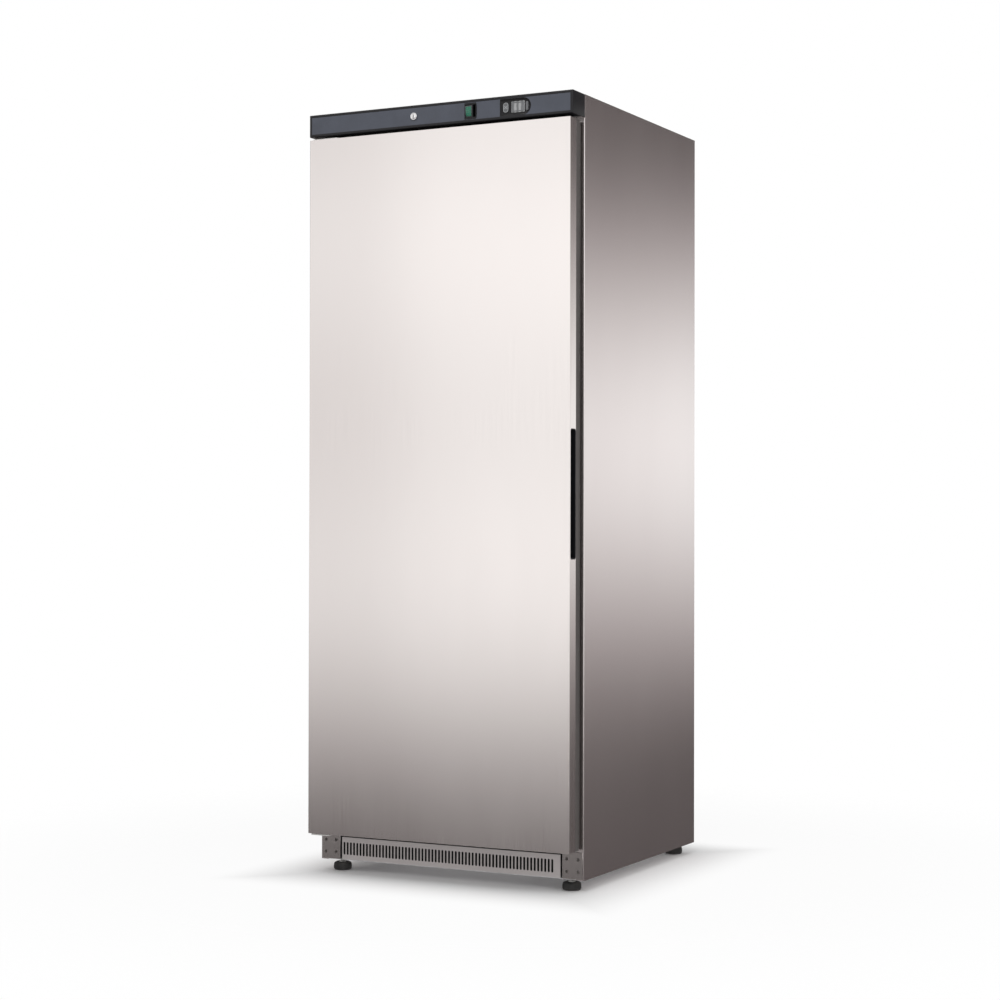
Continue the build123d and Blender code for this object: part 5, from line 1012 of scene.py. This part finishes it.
pierced(box(-361.9, 361.9, 1842.6, 1891.9), [disc(-64, mid, 8.1), switch_loop(-0.9),
    control_loop(-0.4)], "y", -376.2, -375.3)
finished("fascia_plate", fascia_slate, "fascia_slate", "fascia_face")

# Lock: a chromed barrel clamped in the fascia, round a plug with an upright key slot. The plug
# swings a flat steel cam down into the top of the door.
lock_axis = -64, 0, mid
chrome = brushed_steel("chrome", (0.86, 0.86, 0.87), 0.08, 0.05, (900.0, 900.0, 900.0), worn=0.1)
turned([(6.05, -342.5), (8, -342.5), (8, -376.2), (9, -376.5), (9, -379.2), (8.7, -380),
    (8, -380.5), (6.8, -380.5), (6.05, -380.1)], lock_axis, "y", 40, again=True)
turned([(8.1, -370), (12, -370), (12, -374), (8.1, -374)], lock_axis, "y", 6, again=True)
finished("lock_barrel", chrome, "chrome", "lock_body")
key_slot = box(-65, -63, mid - 4.3, mid + 4.3)
pierced(disc(-64, mid, 6, 36), [key_slot], "y", -381.3, -375.3)
turned([(6, -375.3), (6, -338.5)], lock_axis, "y", 36)
bar(box(-69, -20, mid - 5, mid + 5, 4.5, 5), "y", -341.5, -338.5)
finished("lock_core", chrome, "chrome", "lock_plug", body="lock", ease=0.2)
# Painted shade: a black block fills the key slot almost to its mouth and stands for the dark inside
# it.
bar(box(-64.9, -63.1, mid - 4.2, mid + 4.2), "y", -380.9, -375.4)
finished("key_way", black_plastic, "chrome", body="lock", ease=0.2)

# Mains switch: a black snap-in housing with a deep pocket, and in it a rocker of green lit plastic
# in a dark grey frame, which tilts on its axle.
pocket = box(76.5, 96.5, mid - 15, mid + 15)
recess = box(98.7, 106.5, mid - 15, mid + 15)
pierced(switch_loop(0), [pocket, recess], "y", -377.4, -370)
pierced(switch_loop(-1), [pocket], "y", -370, -360)
bar(switch_loop(-1), "y", -360, -354.5)
finished("switch_case", black_plastic, "black_plastic", "switch_housing", smooth=20)
switch_grey = plastic("switch_grey", (0.06, 0.065, 0.068), 0.4)
switch_lens, tree, shader, here = material("switch_lens", (0.02, 0.2, 0.12), 0.2,
    Transmission_Weight=0.2, IOR=1.49, Coat_Weight=0.3)
ribs = place(tree, "TexWave", {"Vector": here, "Scale": 260.0, "Distortion": 0.4},
    bands_direction="Z").outputs[1]
tinted(tree, shader, ribs, (0.01, 0.13, 0.08), (0.03, 0.27, 0.16))
relief(tree, shader, ribs, 0.0003)
tilt = Matrix.Rotation(radians(6), 2)


def rocker_loop(grow, front):
    half = 13.5 + grow
    rows = [(-5 - front, half), (-5.6 - front, half * 0.5), (-6 - front, 0),
        (-5.6 - front, -half * 0.5), (-5 - front, -half), (5, -11), (5, 11)]
    return [(-371.5 + p.x, mid + p.y) for p in (tilt @ Vector(r) for r in rows)]


bar(rocker_loop(0.4, -1.0), "x", 77, 96)
turned([(1.5, 75.4), (1.5, 97.6)], (0, -371.5, mid), "x", 20)
finished("rocker_frame", switch_grey, "black_plastic", body="switch_rocker", ease=0.4)
bar(rocker_loop(-2.0, 0), "x", 79.2, 93.8)
finished("rocker_lens", switch_lens, "switch_green", "rocker", body="switch_rocker", ease=0.6)

# Temperature controller: a dished black case with a half-round end, a grey display block and two
# sprung keys.
lofted([raised(control_loop(g), "y", y) for g, y in ((-0.3, -346.5), (-0.3, -376.1), (-0.7, -376.5),
    (-1.3, -376.5), (-1.9, -375.9), (-2.8, -373.6), (-4.2, -372.7), (-6, -372.5))])
finished("control_case", black_plastic, "black_plastic", "controller_case", smooth=50)
# Light grey for the print on the set key and for the painted highlight ring round it.
key_print = plastic("key_print", (0.42, 0.43, 0.44), 0.4, 0.1, 1200.0, 0.00002)
key_grey = plastic("key_grey", (0.12, 0.123, 0.13), 0.3, 0.1, 1200.0, 0.00003)
display_grey, tree, shader, here = material("display_grey", (0.2, 0.2, 0.21), 0.16, Coat_Weight=0.7)
# Painted highlights: the upright light bands across the display's colour stand for reflections in
# its window.
painted_highlight_bands = place(tree, "TexWave", {"Vector": here, "Scale": 26.0, "Distortion": 1.2,
    "Detail Scale": 3.0}, bands_direction="X").outputs[1]
tinted(tree, shader, painted_highlight_bands, (0.11, 0.115, 0.12), (0.34, 0.345, 0.35))
relief(tree, shader, noise(tree, here, 300.0, 2.0), 0.00001)


def block(x, z, wide, tall, corner, back, front, crown=0.6):
    """Small moulded block with a crowned front."""
    rings = []
    for inset, y in ((0, back), (0, front + crown), (crown * 0.3, front + crown * 0.3),
            (crown, front), (crown + 0.3, front)):
        rings.append(raised(box(x - wide / 2 + inset, x + wide / 2 - inset, z - tall / 2 + inset,
            z + tall / 2 - inset, max(corner - inset, 0.3), 5), "y", y))
    lofted(rings)


block(218.5, mid, 35, 27, 1.5, -370.6, -373.5)
finished("display_window", display_grey, "display", "display_lens", smooth=50)
pierced(box(202.6, 234.4, mid - 11.4, mid + 11.4), [box(205.4, 231.6, mid - 8.8, mid + 8.8, 1.2,
    3)], "y", -373.62, -373.5)
finished("display_bezel", key_grey, "display")
for name, node, x, wide, tall, corner, body in (("set_key_cap", "set_button", 186.5, 14, 24, 6.5,
        "set_key"), ("light_key_cap", "light_button", 243, 7, 22, 3, "light_key")):
    block(x, mid, wide, tall, corner, -370.4, -375.1, 1.2)
    block(x, mid, wide + 3, tall + 3, 1, -368.95, -370.45, 0.1)
    finished(name, key_grey, "button_grey", node, body=body, smooth=50)
    if name == "set_key_cap":
        for a in (radians(45), radians(-45)):
            arm = Matrix.Rotation(a, 2)
            bar([tuple(arm @ Vector(p) + Vector((x, mid))) for p in box(-4.6, 4.6, -0.7, 0.7, 0.6,
                3)], "y", -375.35, -375.0)
        # The light grey ring round the key's face is a painted highlight; the cross inside it is
        # print.
        lofted([raised(box(x - 6.4 + s, x + 6.4 - s, mid - 11.4 + s, mid + 11.4 - s, 5.5 - s, 5),
            "y", y) for s, y in ((0, -374.6), (0, -375.2), (1, -375.2), (1, -374.6))], again=True)
        finished("set_key_cross", key_print, "button_grey", body=body, ease=0.1)

# Rear fastenings: the back panel is held round its edge by small slotted screws, twelve up each
# side and four along the top.
rear = [(side * 344, 341.5, 200 + 145 * k) for side in (-1, 1) for k in range(12)]
rear += [(x, 341.5, 1878) for x in (-240, -80, 80, 240)]
grown("rear_screws", screw_rule, screw_steel, "chrome", along(*[[p] for p in rear]), Head=3.6,
    Rise=1.8, Slot=0.9, Turn=(-pi / 2, 0.0, 0.0), Seed=3)
